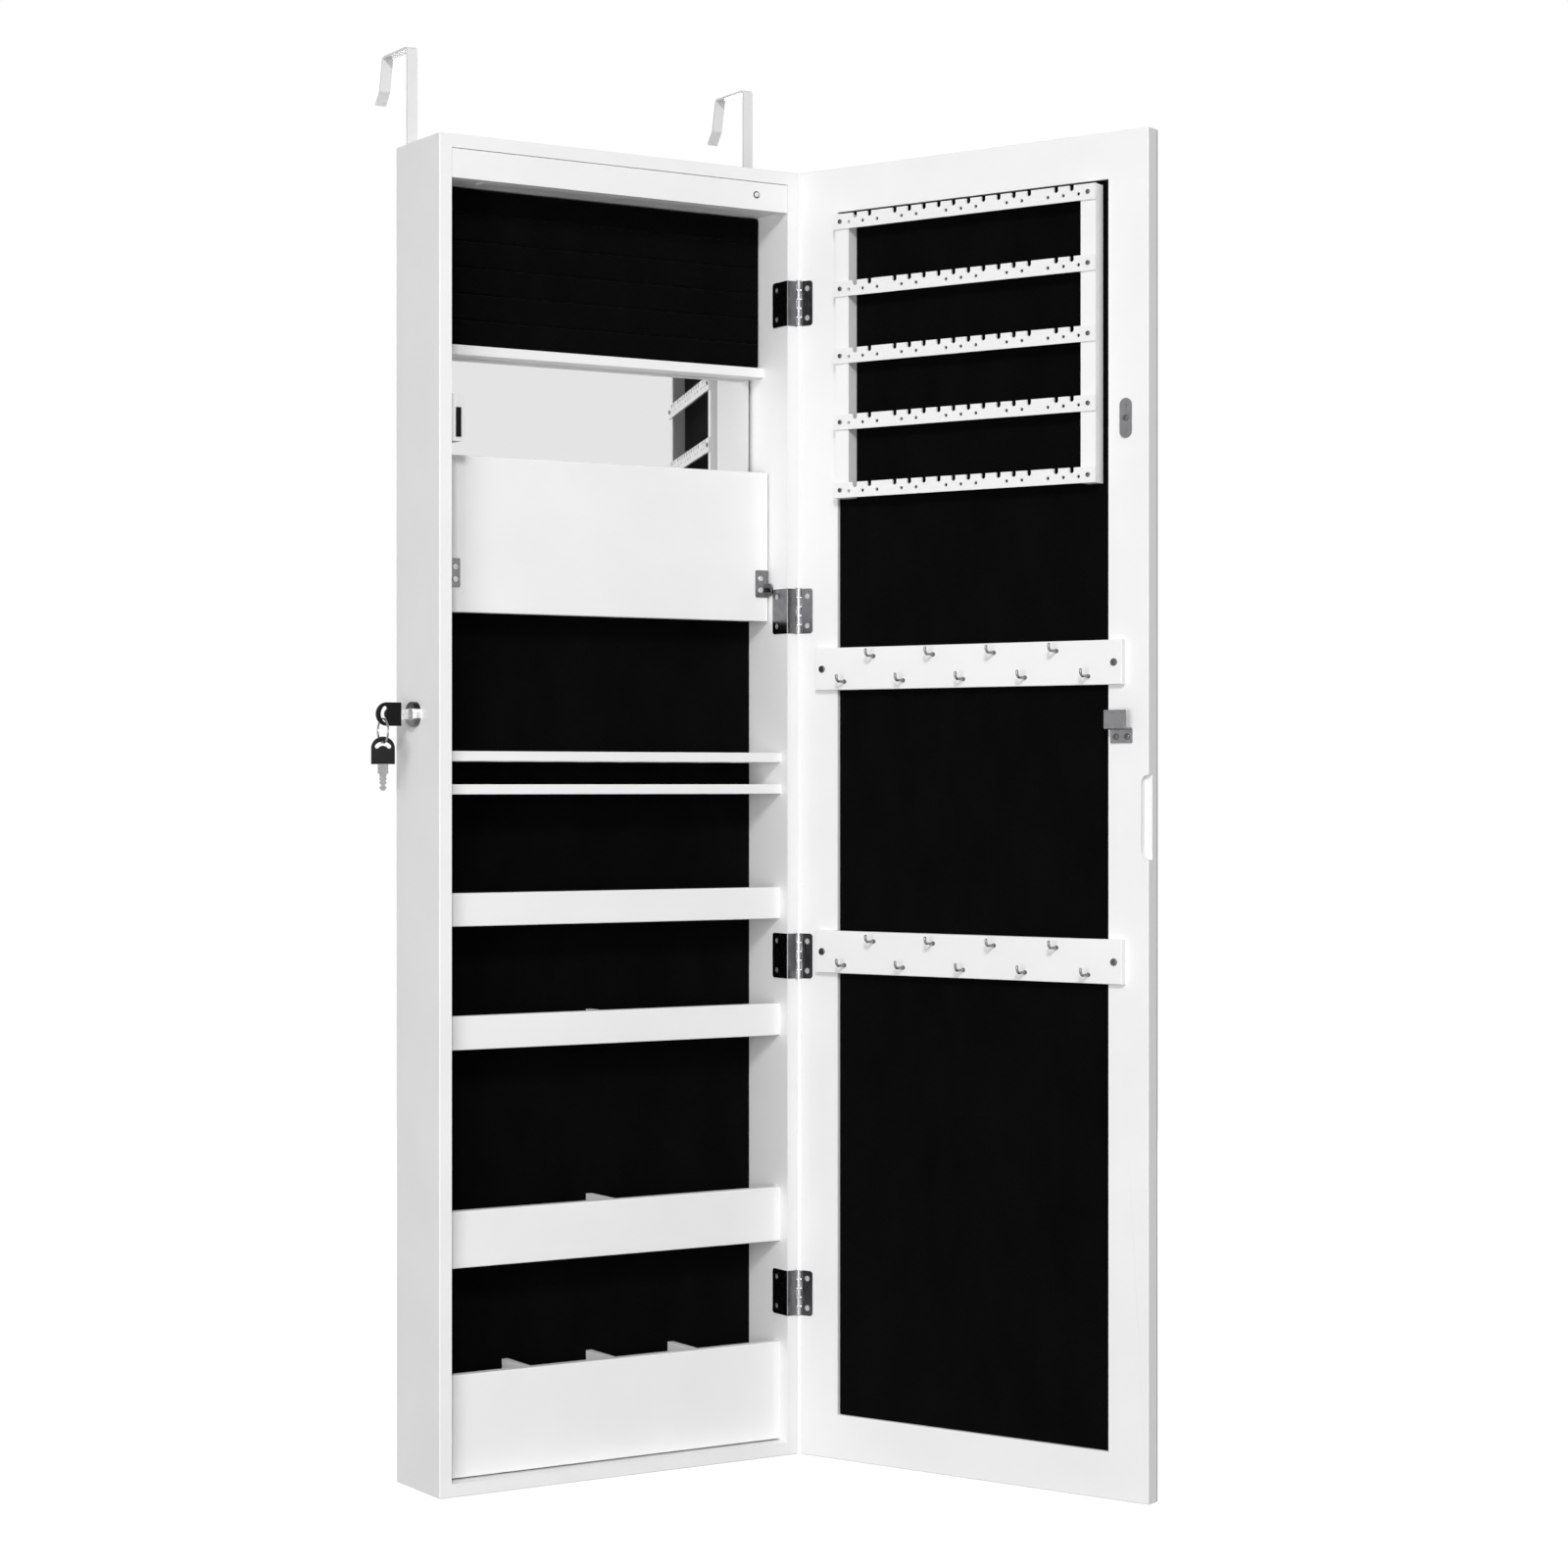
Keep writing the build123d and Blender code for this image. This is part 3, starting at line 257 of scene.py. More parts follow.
def speckle(tree, place, size, low, high, detail=2.0):
    """A noise of the given feature size, stretched between two values."""
    grain = add(tree, "ShaderNodeTexNoise", {"Vector": place, "Scale": per(size), "Detail": detail})
    return add(tree, "ShaderNodeMapRange", {
        "Value": grain.outputs["Fac"], "From Min": 0.3, "From Max": 0.7, "To Min": low, "To Max": high,
    }).outputs["Result"]


def two_toned(tree, tone, pattern, bumps, strength, deep):
    """Shader inputs for two tones mixed by a pattern, with a bump from another or the same one."""
    first, second = tone
    paint = add(tree, "ShaderNodeMix", {0: pattern, 6: first, 7: second}, data_type="RGBA")
    relief = add(tree, "ShaderNodeBump", {"Height": bumps, "Strength": strength, "Distance": deep})
    return {"Base Color": paint.outputs[2], "Normal": relief.outputs["Normal"]}


# Materials
# A grain that is finer than half a millimetre in reality is drawn coarser, so that it shows.

def satin_lacquer(name, painted_edge_shade=None):
    """Sprayed satin lacquer on fibreboard: even white, soft gloss, a fine orange peel in grazing light.

    Faces that look the given way, at its reach from the origin, take a greyer tone: painted shade.
    """
    material, tree, place = start_material(name)
    cloud = speckle(tree, place, sizes.cloud, 0.0, 1.0, 3.0)
    peel = speckle(tree, place, sizes.peel, 0.0, 1.0)
    coats = two_toned(tree, (finishes.lacquer, finishes.lacquer_shade), cloud, peel, 0.10, 0.06 * MM)
    # Painted shade: a greyer tone on the outmost faces that look the given way.
    if painted_edge_shade:
        way, reach = painted_edge_shade
        facing = add(tree, "ShaderNodeTexCoord").outputs["Normal"]
        toward = add(tree, "ShaderNodeVectorMath", {0: facing, 1: way}, operation="DOT_PRODUCT")
        turned = add(tree, "ShaderNodeMapRange", {
            "Value": toward.outputs["Value"], "From Min": 0.85, "From Max": 0.95})
        along = add(tree, "ShaderNodeVectorMath", {0: place, 1: way}, operation="DOT_PRODUCT")
        outmost = add(tree, "ShaderNodeMath", {0: along.outputs["Value"], 1: reach - MM},
                      operation="GREATER_THAN")
        edge = add(tree, "ShaderNodeMath", {0: turned.outputs["Result"], 1: outmost.outputs[0]},
                   operation="MULTIPLY")
        edge_shade_paint = add(tree, "ShaderNodeMix", {0: edge.outputs[0], 6: coats["Base Color"], 7: finishes.painted_edge_shade},
                    data_type="RGBA")
        coats["Base Color"] = edge_shade_paint.outputs[2]
    finish_material(tree, coats | {
        "Roughness": speckle(tree, place, sizes.cloud / 3, 0.40, 0.50), "Specular IOR Level": 0.35})
    return material


def faced_hardboard():
    """Pressed hardboard with a thin white face: dull, with the mottling of its fibres."""
    material, tree, place = start_material("faced_hardboard")
    fibres = speckle(tree, place, 3.5 * MM, 0.0, 1.0, 5.0)
    face = two_toned(tree, (finishes.back_board, linear("#DAD8D2")), fibres, fibres, 0.2, 0.1 * MM)
    finish_material(tree, face | {"Roughness": speckle(tree, place, 12 * MM, 0.62, 0.75)})
    return material


def black_velvet(pulled):
    """Black cut pile: almost no gloss, a faint bloom at grazing angles, brushed patches that lean.

    Where an attribute of the mesh says so, along the slits and at the tucks, the pile takes a paler tone.
    """
    material, tree, place = start_material("black_velvet_slit" if pulled else "black_velvet")
    tufts = speckle(tree, place, sizes.pile, 0.0, 1.0, 3.0)
    brushed = add(tree, "ShaderNodeMapping", {"Vector": place, "Scale": (1.0, 1.0, 0.45)})
    nap = speckle(tree, brushed.outputs["Vector"], sizes.nap, 0.0, 0.75, 3.0)
    pile = two_toned(tree, (finishes.velvet, finishes.velvet_nap), nap, tufts, 0.55, 0.5 * MM)
    layers = [(speckle(tree, place, sizes.pile, 0.0, 0.55, 3.0), linear("#050505"))]
    if pulled:
        worn = add(tree, "ShaderNodeAttribute", attribute_name="pulled")
        layers.append((worn.outputs["Fac"], finishes.velvet_slit_pale))
    for factor, tone in layers:
        layer = add(tree, "ShaderNodeMix", {0: factor, 6: pile["Base Color"], 7: tone}, data_type="RGBA")
        pile["Base Color"] = layer.outputs[2]
    finish_material(tree, pile | {
        "Roughness": 0.95, "Specular IOR Level": 0.02, "Sheen Weight": 0.035, "Sheen Roughness": 0.45,
        "Sheen Tint": linear("#C9C9CF")})
    return material


def silvered_glass():
    """Float glass silvered behind: a clean reflection, a little dimmed, hardly any haze."""
    material, tree, place = start_material("silvered_glass")
    haze = speckle(tree, place, 60 * MM, 0.012, 0.03, 3.0)
    finish_material(tree, {"Base Color": finishes.silver, "Metallic": 1.0, "Roughness": haze})
    return material


def ground_glass_edge():
    """Ground and seamed edge of the mirror: pale grey green, dull from the grinding."""
    material, tree, place = start_material("ground_glass_edge")
    grind = add(tree, "ShaderNodeMapping", {"Vector": place, "Scale": (1.0, 1.0, 0.05)})
    lines = speckle(tree, grind.outputs["Vector"], 0.8 * MM, 0.0, 1.0)
    edge = two_toned(tree, (finishes.glass_edge, linear("#BEC1C0")), lines, lines, 0.15, 0.05 * MM)
    finish_material(tree, edge | {"Roughness": 0.42, "IOR": 1.52})
    return material


def moulded_plastic(name, tone, rough, gloss, texture, deep):
    """Injection moulded ABS or nylon: one colour with the mould's spark-eroded texture."""
    material, tree, place = start_material(name)
    erosion = speckle(tree, place, texture, 0.0, 1.0, 3.0)
    skin = two_toned(tree, (tone, dimmed(tone, 0.9)), erosion, erosion, 0.2, deep)
    finish_material(tree, skin | {
        "Roughness": speckle(tree, place, 9 * MM, rough - 0.05, rough + 0.05), "Specular IOR Level": gloss})
    return material


def frosted_acrylic():
    """Frosted acrylic over the light: milky, lets a little light in, soft gloss."""
    material, tree, place = start_material("frosted_acrylic")
    frost = speckle(tree, place, 0.9 * MM, 0.0, 1.0)
    cover = two_toned(tree, (finishes.frosted, linear("#E2E2E0")), frost, frost, 0.15, 0.05 * MM)
    finish_material(tree, cover | {
        "Roughness": 0.38, "IOR": 1.49, "Subsurface Weight": 0.25,
        "Subsurface Radius": (4 * MM, 4 * MM, 4 * MM)})
    return material


def coated_circuit_board():
    """White solder mask over copper tracks: pale, with slightly raised lines."""
    material, tree, place = start_material("coated_circuit_board")
    tracks = add(tree, "ShaderNodeTexBrick", {"Vector": place, "Scale": per(9 * MM), "Mortar Size": 0.06})
    board = two_toned(tree, (finishes.solder_mask, linear("#CFC9B4")), tracks.outputs["Fac"],
                      tracks.outputs["Fac"], 0.3, 0.05 * MM)
    finish_material(tree, board | {"Roughness": 0.35})
    return material


def powder_coated_steel():
    """Bent strap steel under pale powder coat: low gloss, a fine pebble."""
    material, tree, place = start_material("powder_coated_steel")
    pebble = speckle(tree, place, 0.8 * MM, 0.0, 1.0)
    powder = two_toned(tree, (finishes.powder_coat, linear("#DDDDDD")), pebble, pebble, 0.25, 0.08 * MM)
    finish_material(tree, powder | {"Roughness": speckle(tree, place, 6 * MM, 0.42, 0.55)})
    return material


def plated_metal(name, tone, rough, grain, stretch):
    """Plated steel: a clear tint, a sharp or soft gloss, fine lines left by rolling or tumbling."""
    material, tree, place = start_material(name)
    drawn = add(tree, "ShaderNodeMapping", {"Vector": place, "Scale": stretch}).outputs["Vector"]
    lines = speckle(tree, drawn, grain, 0.0, 1.0, 3.0)
    clouds = speckle(tree, place, 7 * MM, 0.0, 1.0)
    plating = two_toned(tree, (tone, dimmed(tone, 0.82)), clouds, lines, 0.06, 0.02 * MM)
    finish_material(tree, plating | {
        "Metallic": 1.0, "Roughness": speckle(tree, drawn, grain, rough * 0.7, rough * 1.3)})
    return material


def polished_chrome(height):
    """Polished chrome on zinc: a mirror finish with a painted reflection, a bright band between a painted
    dark tone above and a painted grey below.
    """
    material, tree, place = start_material("polished_chrome")
    up = add(tree, "ShaderNodeSeparateXYZ", {0: place}).outputs["Z"]
    top, foot, soft = height + sizes.painted_band_top, height - sizes.painted_band_foot, sizes.painted_band_soft
    # Painted reflection: the chrome is darker above the band and greyer below it, by height about the lock's
    # axis.
    above = add(tree, "ShaderNodeMapRange", {"Value": up, "From Min": top - soft, "From Max": top + soft})
    below = add(tree, "ShaderNodeMapRange", {"Value": up, "From Min": foot + soft, "From Max": foot - soft})
    scuffs = speckle(tree, place, 1.5 * MM, 0.0, 1.0)
    plating = two_toned(tree, (finishes.chrome, finishes.chrome_painted_grey_below), below.outputs["Result"], scuffs,
                        0.06, 0.02 * MM)
    reflection_painted = add(tree, "ShaderNodeMix", {
        0: above.outputs["Result"], 6: plating["Base Color"], 7: finishes.chrome_painted_dark_above}, data_type="RGBA")
    finish_material(tree, plating | {
        "Base Color": reflection_painted.outputs[2], "Metallic": 1.0,
        "Roughness": speckle(tree, place, 1.5 * MM, 0.08, 0.16)})
    return material


def sintered_ferrite():
    """Sintered ferrite magnet: matt black with a fine pressed grain."""
    material, tree, place = start_material("sintered_ferrite")
    grain = speckle(tree, place, 0.7 * MM, 0.0, 1.0, 4.0)
    block = two_toned(tree, (finishes.ferrite, linear("#141415")), grain, grain, 0.3, 0.05 * MM)
    finish_material(tree, block | {"Roughness": 0.7, "Specular IOR Level": 0.1})
    return material


# Helpers for pieces

def coat(material, *names):
    """Gives CAD nodes a material."""
    for name in names:
        for slot in frame["nodes"][name].material_slots:
            slot.material = material


def coat_near(material, line, reach, *names):
    """Gives the faces of CAD nodes that are near an upright line a second material."""
    for name in names:
        mesh = frame["nodes"][name].data
        mesh.materials.append(material)
        for face in mesh.polygons:
            if (face.center - line).xy.length < reach:
                face.material_index = len(mesh.materials) - 1


def joint(name):
    """A joint of the frame, by its name."""
    return next(entry for entry in frame["joints"] if entry["name"] == name)


def door_shut():
    """The turn that closes the door from where it stands, about its hinge."""
    swing = joint("door_swing")
    hinge = Matrix.Translation(Vector(swing["pos_m"]))
    return hinge @ Matrix.Rotation(math.radians(swing["range_deg"][0]), 4, "Z") @ hinge.inverted()


def turned_box(name, turn):
    """Lowest and highest corner of a CAD node after a turn."""
    points = [turn @ v.co for v in frame["nodes"][name].data.vertices]
    low = Vector([min(p[n] for p in points) for n in range(3)])
    high = Vector([max(p[n] for p in points) for n in range(3)])
    return low, high


def block(bm, low, high):
    """A cube between two corners."""
    middle = (low + high) / 2
    span = Matrix.Diagonal((*(high - low), 1.0))
    bmesh.ops.create_cube(bm, size=1.0, matrix=Matrix.Translation(middle) @ span)


def piece_from(bm, name, *materials):
    """A new object at the origin from a bmesh, shaded smooth by angle."""
    mesh = bpy.data.meshes.new(name)
    bmesh.ops.recalc_face_normals(bm, faces=bm.faces)
    bm.to_mesh(mesh)
    bm.free()
    piece = bpy.data.objects.new(name, mesh)
    bpy.context.scene.collection.objects.link(piece)
    for material in materials:
        mesh.materials.append(material)
    mesh.shade_smooth()
    mesh.set_sharp_from_angle(angle=math.radians(40))
    return piece


def evaluated_mesh(piece):
    """The piece's mesh with its modifiers applied."""
    depsgraph = bpy.context.evaluated_depsgraph_get()
    return bpy.data.meshes.new_from_object(piece.evaluated_get(depsgraph))


def bake_modifiers(piece):
    """Replaces the piece's mesh by what its modifiers make of it."""
    mesh = evaluated_mesh(piece)
    piece.modifiers.clear()
    piece.data = mesh


# Pieces

class ARMOIRE_OT_boards(bpy.types.Operator):
    """Lacquers the carcass, racks, trays, flap and door frame, and faces the back board."""

    bl_idname = "armoire.boards"
    bl_label = "Boards"

    def execute(self, context):
        coat(satin_lacquer("satin_lacquer"), "side_panel_left", "side_panel_right", "top_panel",
             "bottom_panel", "light_box_floor", "light_fascia", "ring_shelf", "lipstick_rack_upper",
             "lipstick_rack_lower", "tray_upper_front", "tray_middle_front", "tray_lower_front",
             "tray_floors", "tray_dividers", "bin_front", "bin_dividers", "flap_panel", "earring_posts",
             "hook_bars")
        # The door's free edge gets a greyer tone, painted shade.
        free_edge = door_shut().inverted().to_3x3() @ Vector((-1.0, 0.0, 0.0))
        reach = max(free_edge.dot(v.co) for v in frame["nodes"]["door_frame"].data.vertices)
        coat(satin_lacquer("edged_satin_lacquer", (free_edge, reach)), "door_frame")
        coat(faced_hardboard(), "back_panel")
        return {"FINISHED"}


class ARMOIRE_OT_velvet_panels(bpy.types.Operator):
    """Models the two velvet covered panels: the back of the cabinet and the inside of the door."""

    bl_idname = "armoire.velvet_panels"
    bl_label = "Velvet panels"

    def execute(self, context):
        material = black_velvet(False)
        columns, rows = 16, 48
        waves_a_metre = 18.0
        for name, node, body, turn in (
            ("back_velvet", "back_lining", "cabinet", Matrix.Identity(4)),
            ("door_velvet", "door_lining", "door", door_shut()),
        ):
            low, high = turned_box(node, turn)
            bm = bmesh.new()
            block(bm, low, high)
            bmesh.ops.bevel(bm, geom=bm.edges[:], offset=sizes.panel_round, offset_type="OFFSET", segments=3,
                            profile=0.5, affect="EDGES", material=-1)
            span = high - low
            for cuts, axis in ((columns, 0), (rows, 2)):
                runs = [e for e in bm.edges
                        if abs((e.verts[0].co - e.verts[1].co)[axis]) > 0.8 * span[axis]]
                bmesh.ops.subdivide_edges(bm, edges=runs, cuts=cuts, use_grid_fill=True)
            for v in bm.verts:
                inward = min(v.co.x - low.x, high.x - v.co.x, v.co.z - low.z, high.z - v.co.z)
                if inward > 2 * sizes.panel_round:
                    v.co.y += sizes.panel_swell * noise.noise(v.co * waves_a_metre)
            bmesh.ops.transform(bm, matrix=turn.inverted(), verts=bm.verts)
            piece = piece_from(bm, name, material)
            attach(piece, body)
            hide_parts(node)
        return {"FINISHED"}


class ARMOIRE_OT_ring_cushion(bpy.types.Operator):
    """Models the ring cushion: a foam block under velvet, with slits that hold rings."""

    bl_idname = "armoire.ring_cushion"
    bl_label = "Ring cushion"

    def execute(self, context):
        low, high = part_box("ring_pad")
        rows = 6
        pitch = (high.z - low.z) / rows
        slits = [low.z + pitch * n for n in range(1, rows)]
        piece = self.start_shape(low, high, slits)
        self.swell(context, piece, low, high, slits)
        self.cut_slits(piece, low, high, slits)
        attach(piece, "cabinet")
        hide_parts("ring_pad")
        return {"FINISHED"}

    def start_shape(self, low, high, slits):
        """A block a little smaller than the frame's cushion, its mesh finer beside the slits."""
        less = Vector((1.0, 1.0, 1.0)) * sizes.pad_shrink
        low, high = low + less, high - less
        bm = bmesh.new()
        block(bm, low, high)
        front = [e for e in bm.edges if all(v.co.y < (low.y + high.y) / 2 for v in e.verts)]
        bmesh.ops.bevel(bm, geom=front, offset=sizes.pad_round, offset_type="OFFSET", segments=3,
                        profile=0.5, affect="EDGES", material=-1)
        span = high - low
        columns = int(span.x / sizes.pad_grain)
        rows = int(span.z / sizes.pad_grain)
        layers = 4
        beside = (-1.5, -0.75, 0.0, 0.75, 1.5)
        cuts = [((low.x + span.x * n / columns, 0.0, 0.0), (1.0, 0.0, 0.0)) for n in range(1, columns)]
        heights = [low.z + span.z * n / rows for n in range(1, rows)]
        heights = [z for z in heights if min(abs(z - slit) for slit in slits) > beside[-1] * sizes.slit_wide]
        heights += [slit + part * sizes.slit_wide for slit in slits for part in beside]
        cuts += [((0.0, 0.0, z), (0.0, 0.0, 1.0)) for z in heights]
        cuts += [((0.0, low.y + span.y * n / layers, 0.0), (0.0, 1.0, 0.0)) for n in range(1, layers)]
        for spot, way in cuts:
            bmesh.ops.bisect_plane(bm, geom=bm.verts[:] + bm.edges[:] + bm.faces[:], dist=0.001 * MM,
                                   plane_co=spot, plane_no=way)
        return piece_from(bm, "ring_cushion", black_velvet(True))

    def swell(self, context, piece, low, high, slits):
        """Presses the cushion out as cloth, held at its back and along its slits."""
        pressure, last_frame = 4.0, 20
        mesh = piece.data
        start = [v.co.copy() for v in mesh.vertices]
        back = high.y - 2 * sizes.pad_shrink
        held = [v.index for v in mesh.vertices
                if v.co.y > back or min(abs(v.co.z - z) for z in slits) < 0.5 * sizes.slit_wide]
        piece.vertex_groups.new(name="held").add(held, 1.0, "REPLACE")
        cloth = piece.modifiers.new("foam", "CLOTH")
        cloth.settings.use_pressure = True
        cloth.settings.uniform_pressure_force = pressure
        cloth.settings.vertex_group_mass = "held"
        cloth.settings.effector_weights.gravity = 0.0
        cloth.collision_settings.use_collision = False
        for step in range(1, last_frame + 1):
            context.scene.frame_set(step)
        bake_modifiers(piece)
        context.scene.frame_set(1)
        piece.vertex_groups.clear()
        for v, origin in zip(piece.data.vertices, start):
            move = v.co - origin
            if move.length > sizes.pad_cap:
                v.co = origin + move.normalized() * sizes.pad_cap
            for n in range(3):
                v.co[n] = min(max(v.co[n], low[n] + sizes.pad_clear), high[n] - sizes.pad_clear)

    def cut_slits(self, piece, low, high, slits):
        """Draws the velvet into the slits, with a tuck every few centimetres."""
        smooth = piece.modifiers.new("round", "SUBSURF")
        smooth.levels = smooth.render_levels = 1
        bake_modifiers(piece)
        mesh = piece.data
        # Paler tone of the pile along the slits and at the tucks.
        pulled = mesh.attributes.new("pulled", "FLOAT", "POINT")
        half = (low.y + high.y) / 2
        for v in mesh.vertices:
            if v.co.y > half:
                continue
            from_slit = min((v.co.z - z for z in slits), key=abs)
            from_tuck = (v.co.x - low.x) / sizes.tuck_pitch % 1.0 - 0.5
            from_end = min(v.co.x - low.x, high.x - v.co.x)
            fade = min(1.0, max(0.0, from_end / sizes.slit_end))
            slit = math.exp(-(from_slit / sizes.slit_wide) ** 2) * fade
            across = from_tuck * sizes.tuck_pitch / sizes.tuck_wide
            tuck = math.exp(-(from_slit / sizes.tuck_long) ** 2 - across ** 2)
            v.co.y += sizes.slit_deep * slit + sizes.tuck_deep * tuck * (1.0 - slit)
            pulled.data[v.index].value = min(1.0, 0.25 * slit + 0.8 * tuck * slit)
        mesh.shade_smooth()


class ARMOIRE_OT_mirrors(bpy.types.Operator):
    """Silvers the small mirror inside and models the mirror that covers the outside of the door."""

    bl_idname = "armoire.mirrors"
    bl_label = "Mirrors"

    def execute(self, context):
        silver = silvered_glass()
        coat(silver, "inner_mirror")
        turn = door_shut()
        low, high = turned_box("door_mirror", turn)
        bm = bmesh.new()
        block(bm, low, high)
        outer = [e for e in bm.edges if all(v.co.y < (low.y + high.y) / 2 for v in e.verts)]
        bmesh.ops.bevel(bm, geom=outer, offset=sizes.glass_chamfer, offset_type="OFFSET", segments=2,
                        profile=0.5, affect="EDGES", material=-1)
        bm.normal_update()
        for face in bm.faces:
            face.material_index = 0 if abs(face.normal.y) > 0.99 else 1
        bmesh.ops.transform(bm, matrix=turn.inverted(), verts=bm.verts)
        piece = piece_from(bm, "door_glass", silver, ground_glass_edge())
        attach(piece, "door")
        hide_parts("door_mirror")
        return {"FINISHED"}


class ARMOIRE_OT_light(bpy.types.Operator):
    """Finishes the light at the top: cover, circuit board, battery box and switch."""

    bl_idname = "armoire.light"
    bl_label = "Light"

    def execute(self, context):
        coat(frosted_acrylic(), "led_diffuser")
        coat(coated_circuit_board(), "led_strip")
        black = moulded_plastic("moulded_black_abs", finishes.black_plastic, 0.42, 0.2, 0.7 * MM, 0.05 * MM)
        coat(black, "battery_box", "switch_body", "flap_pivots")
        return {"FINISHED"}


class ARMOIRE_OT_plastics(bpy.types.Operator):
    """Finishes the earring bars, the battery cover, the catch and the flap's stops."""

    bl_idname = "armoire.plastics"
    bl_label = "Plastics"

    def execute(self, context):
        white = moulded_plastic("moulded_white_abs", finishes.white_plastic, 0.38, 0.4, 1.0 * MM, 0.04 * MM)
        coat(white, "earring_bars", "battery_cover")
        grey = moulded_plastic("moulded_grey_nylon", finishes.grey_plastic, 0.45, 0.4, 0.8 * MM, 0.05 * MM)
        coat(grey, "catch_body", "switch_plunger", "flap_stops")
        coat(sintered_ferrite(), "catch_magnet")
        return {"FINISHED"}


class ARMOIRE_OT_metalwork(bpy.types.Operator):
    """Finishes the over-door hooks, hinges, brackets, plates, screws and necklace hooks."""

    bl_idname = "armoire.metalwork"
    bl_label = "Metalwork"

    def execute(self, context):
        coat(powder_coated_steel(), "over_door_hook_left", "over_door_hook_right")
        nickel = plated_metal("nickel_plated_steel", finishes.nickel, 0.3, 0.5 * MM, (1.0, 1.0, 0.06))
        coat(nickel, "strike_plate", "lock_keep", "lock_nut", "lock_cam", "flap_brackets")
        rolled = plated_metal("rolled_hinge_steel", finishes.hinge_steel, 0.22, 0.5 * MM, (1.0, 1.0, 0.06))
        coat(rolled, "hinge_cabinet_leaves", "hinge_door_leaves")
        zinc = plated_metal("zinc_plated_steel", finishes.zinc, 0.5, 0.5 * MM, (1.0, 1.0, 1.0))
        coat(zinc, "cabinet_screws", "flap_bracket_screws", "cam_screw")
        # Painted highlight: the knuckles and pins get a lighter copy of the hinge steel.
        barrel_painted_highlight = plated_metal("rolled_hinge_barrel", finishes.barrel_painted_highlight, 0.25, 1.2 * MM, (1.0, 1.0, 0.5))
        coat(barrel_painted_highlight, "hinge_pins")
        hinge = Vector(joint("door_swing")["pos_m"])
        coat_near(barrel_painted_highlight, hinge, sizes.painted_highlight_reach, "hinge_cabinet_leaves", "hinge_door_leaves")
        dark = plated_metal("dark_nickel_screws", finishes.rack_screw, 0.3, 0.5 * MM, (1.0, 1.0, 1.0))
        coat(dark, "door_screws")
        coat_near(zinc, hinge, sizes.leaf_reach, "door_screws")
        drawn = plated_metal("drawn_hook_wire", finishes.hook_wire, 0.2, 0.4 * MM, (1.0, 1.0, 1.0))
        coat(drawn, "jewelry_hooks")
        return {"FINISHED"}


class ARMOIRE_OT_lock_and_keys(bpy.types.Operator):
    """Finishes the lock and both keys, and models the split ring that joins them."""

    bl_idname = "armoire.lock_and_keys"
    bl_label = "Lock and keys"

    def execute(self, context):
        coat(polished_chrome(joint("lock_turn")["pos_m"][2]), "lock_body")
        plug = plated_metal("nickel_plated_plug", finishes.plug, 0.15, 1.5 * MM, (1.0, 1.0, 1.0))
        coat(plug, "lock_plug")
        steel = plated_metal("milled_key_steel", finishes.key_steel, 0.2, 0.4 * MM, (0.1, 1.0, 0.1))
        coat(steel, "spare_key_blade")
        # Painted reflection: the key in the lock takes a brighter copy of the key steel.
        bright_key = plated_metal("polished_key_steel", finishes.key_painted_reflection, 0.3, 0.4 * MM, (0.1, 1.0, 0.1))
        coat(bright_key, "key_blade")
        bow = moulded_plastic("moulded_black_bow", finishes.black_plastic, 0.34, 0.15, 0.6 * MM, 0.04 * MM)
        coat(bow, "key_bow", "spare_key_bow")
        self.split_ring(steel)
        return {"FINISHED"}

    def split_ring(self, steel):
        """Two turns of flattened wire that lie side by side and cross once."""
        low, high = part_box("key_ring")
        centre = (low + high) / 2
        wire_radius = (high.x - low.x) / 2
        radius = (high.z - low.z) / 2 - wire_radius
        flat, tall = 0.46 * wire_radius, 0.95 * wire_radius
        side = 0.5 * wire_radius
        steps = 136
        first, last = math.radians(20), math.radians(700)
        cross_from, cross_over = math.radians(340), math.radians(40)
        apart = 1.0
        bm = bmesh.new()
        ring = bmesh.ops.create_circle(bm, segments=12, radius=1.0, cap_ends=False)["verts"]
        shape = Matrix.Translation((0, 0, radius)) @ Matrix.Diagonal((flat, 1, tall, 1))
        shape = Matrix.Rotation(first, 4, "X") @ shape @ Matrix.Rotation(math.radians(90), 4, "X")
        bmesh.ops.transform(bm, matrix=shape, verts=ring)
        bmesh.ops.spin(bm, geom=bm.verts[:] + bm.edges[:], cent=(0, 0, 0), axis=(1, 0, 0),
                       angle=last - first, steps=steps, dvec=(apart, 0, 0), use_merge=False,
                       use_normal_flip=False, use_duplicate=False)
        for v in bm.verts:
            step = round(v.co.x / apart)
            turn = first + (last - first) * step / steps
            cross = min(max((turn - cross_from) / cross_over, 0.0), 1.0)
            v.co.x += side * (2 * cross * cross * (3 - 2 * cross) - 1) - step * apart
        bmesh.ops.holes_fill(bm, edges=[e for e in bm.edges if e.is_boundary], sides=0)
        bmesh.ops.transform(bm, matrix=Matrix.Translation(centre), verts=bm.verts)
        piece = piece_from(bm, "split_ring", steel)
        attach(piece, "ring")
        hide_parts("key_ring")


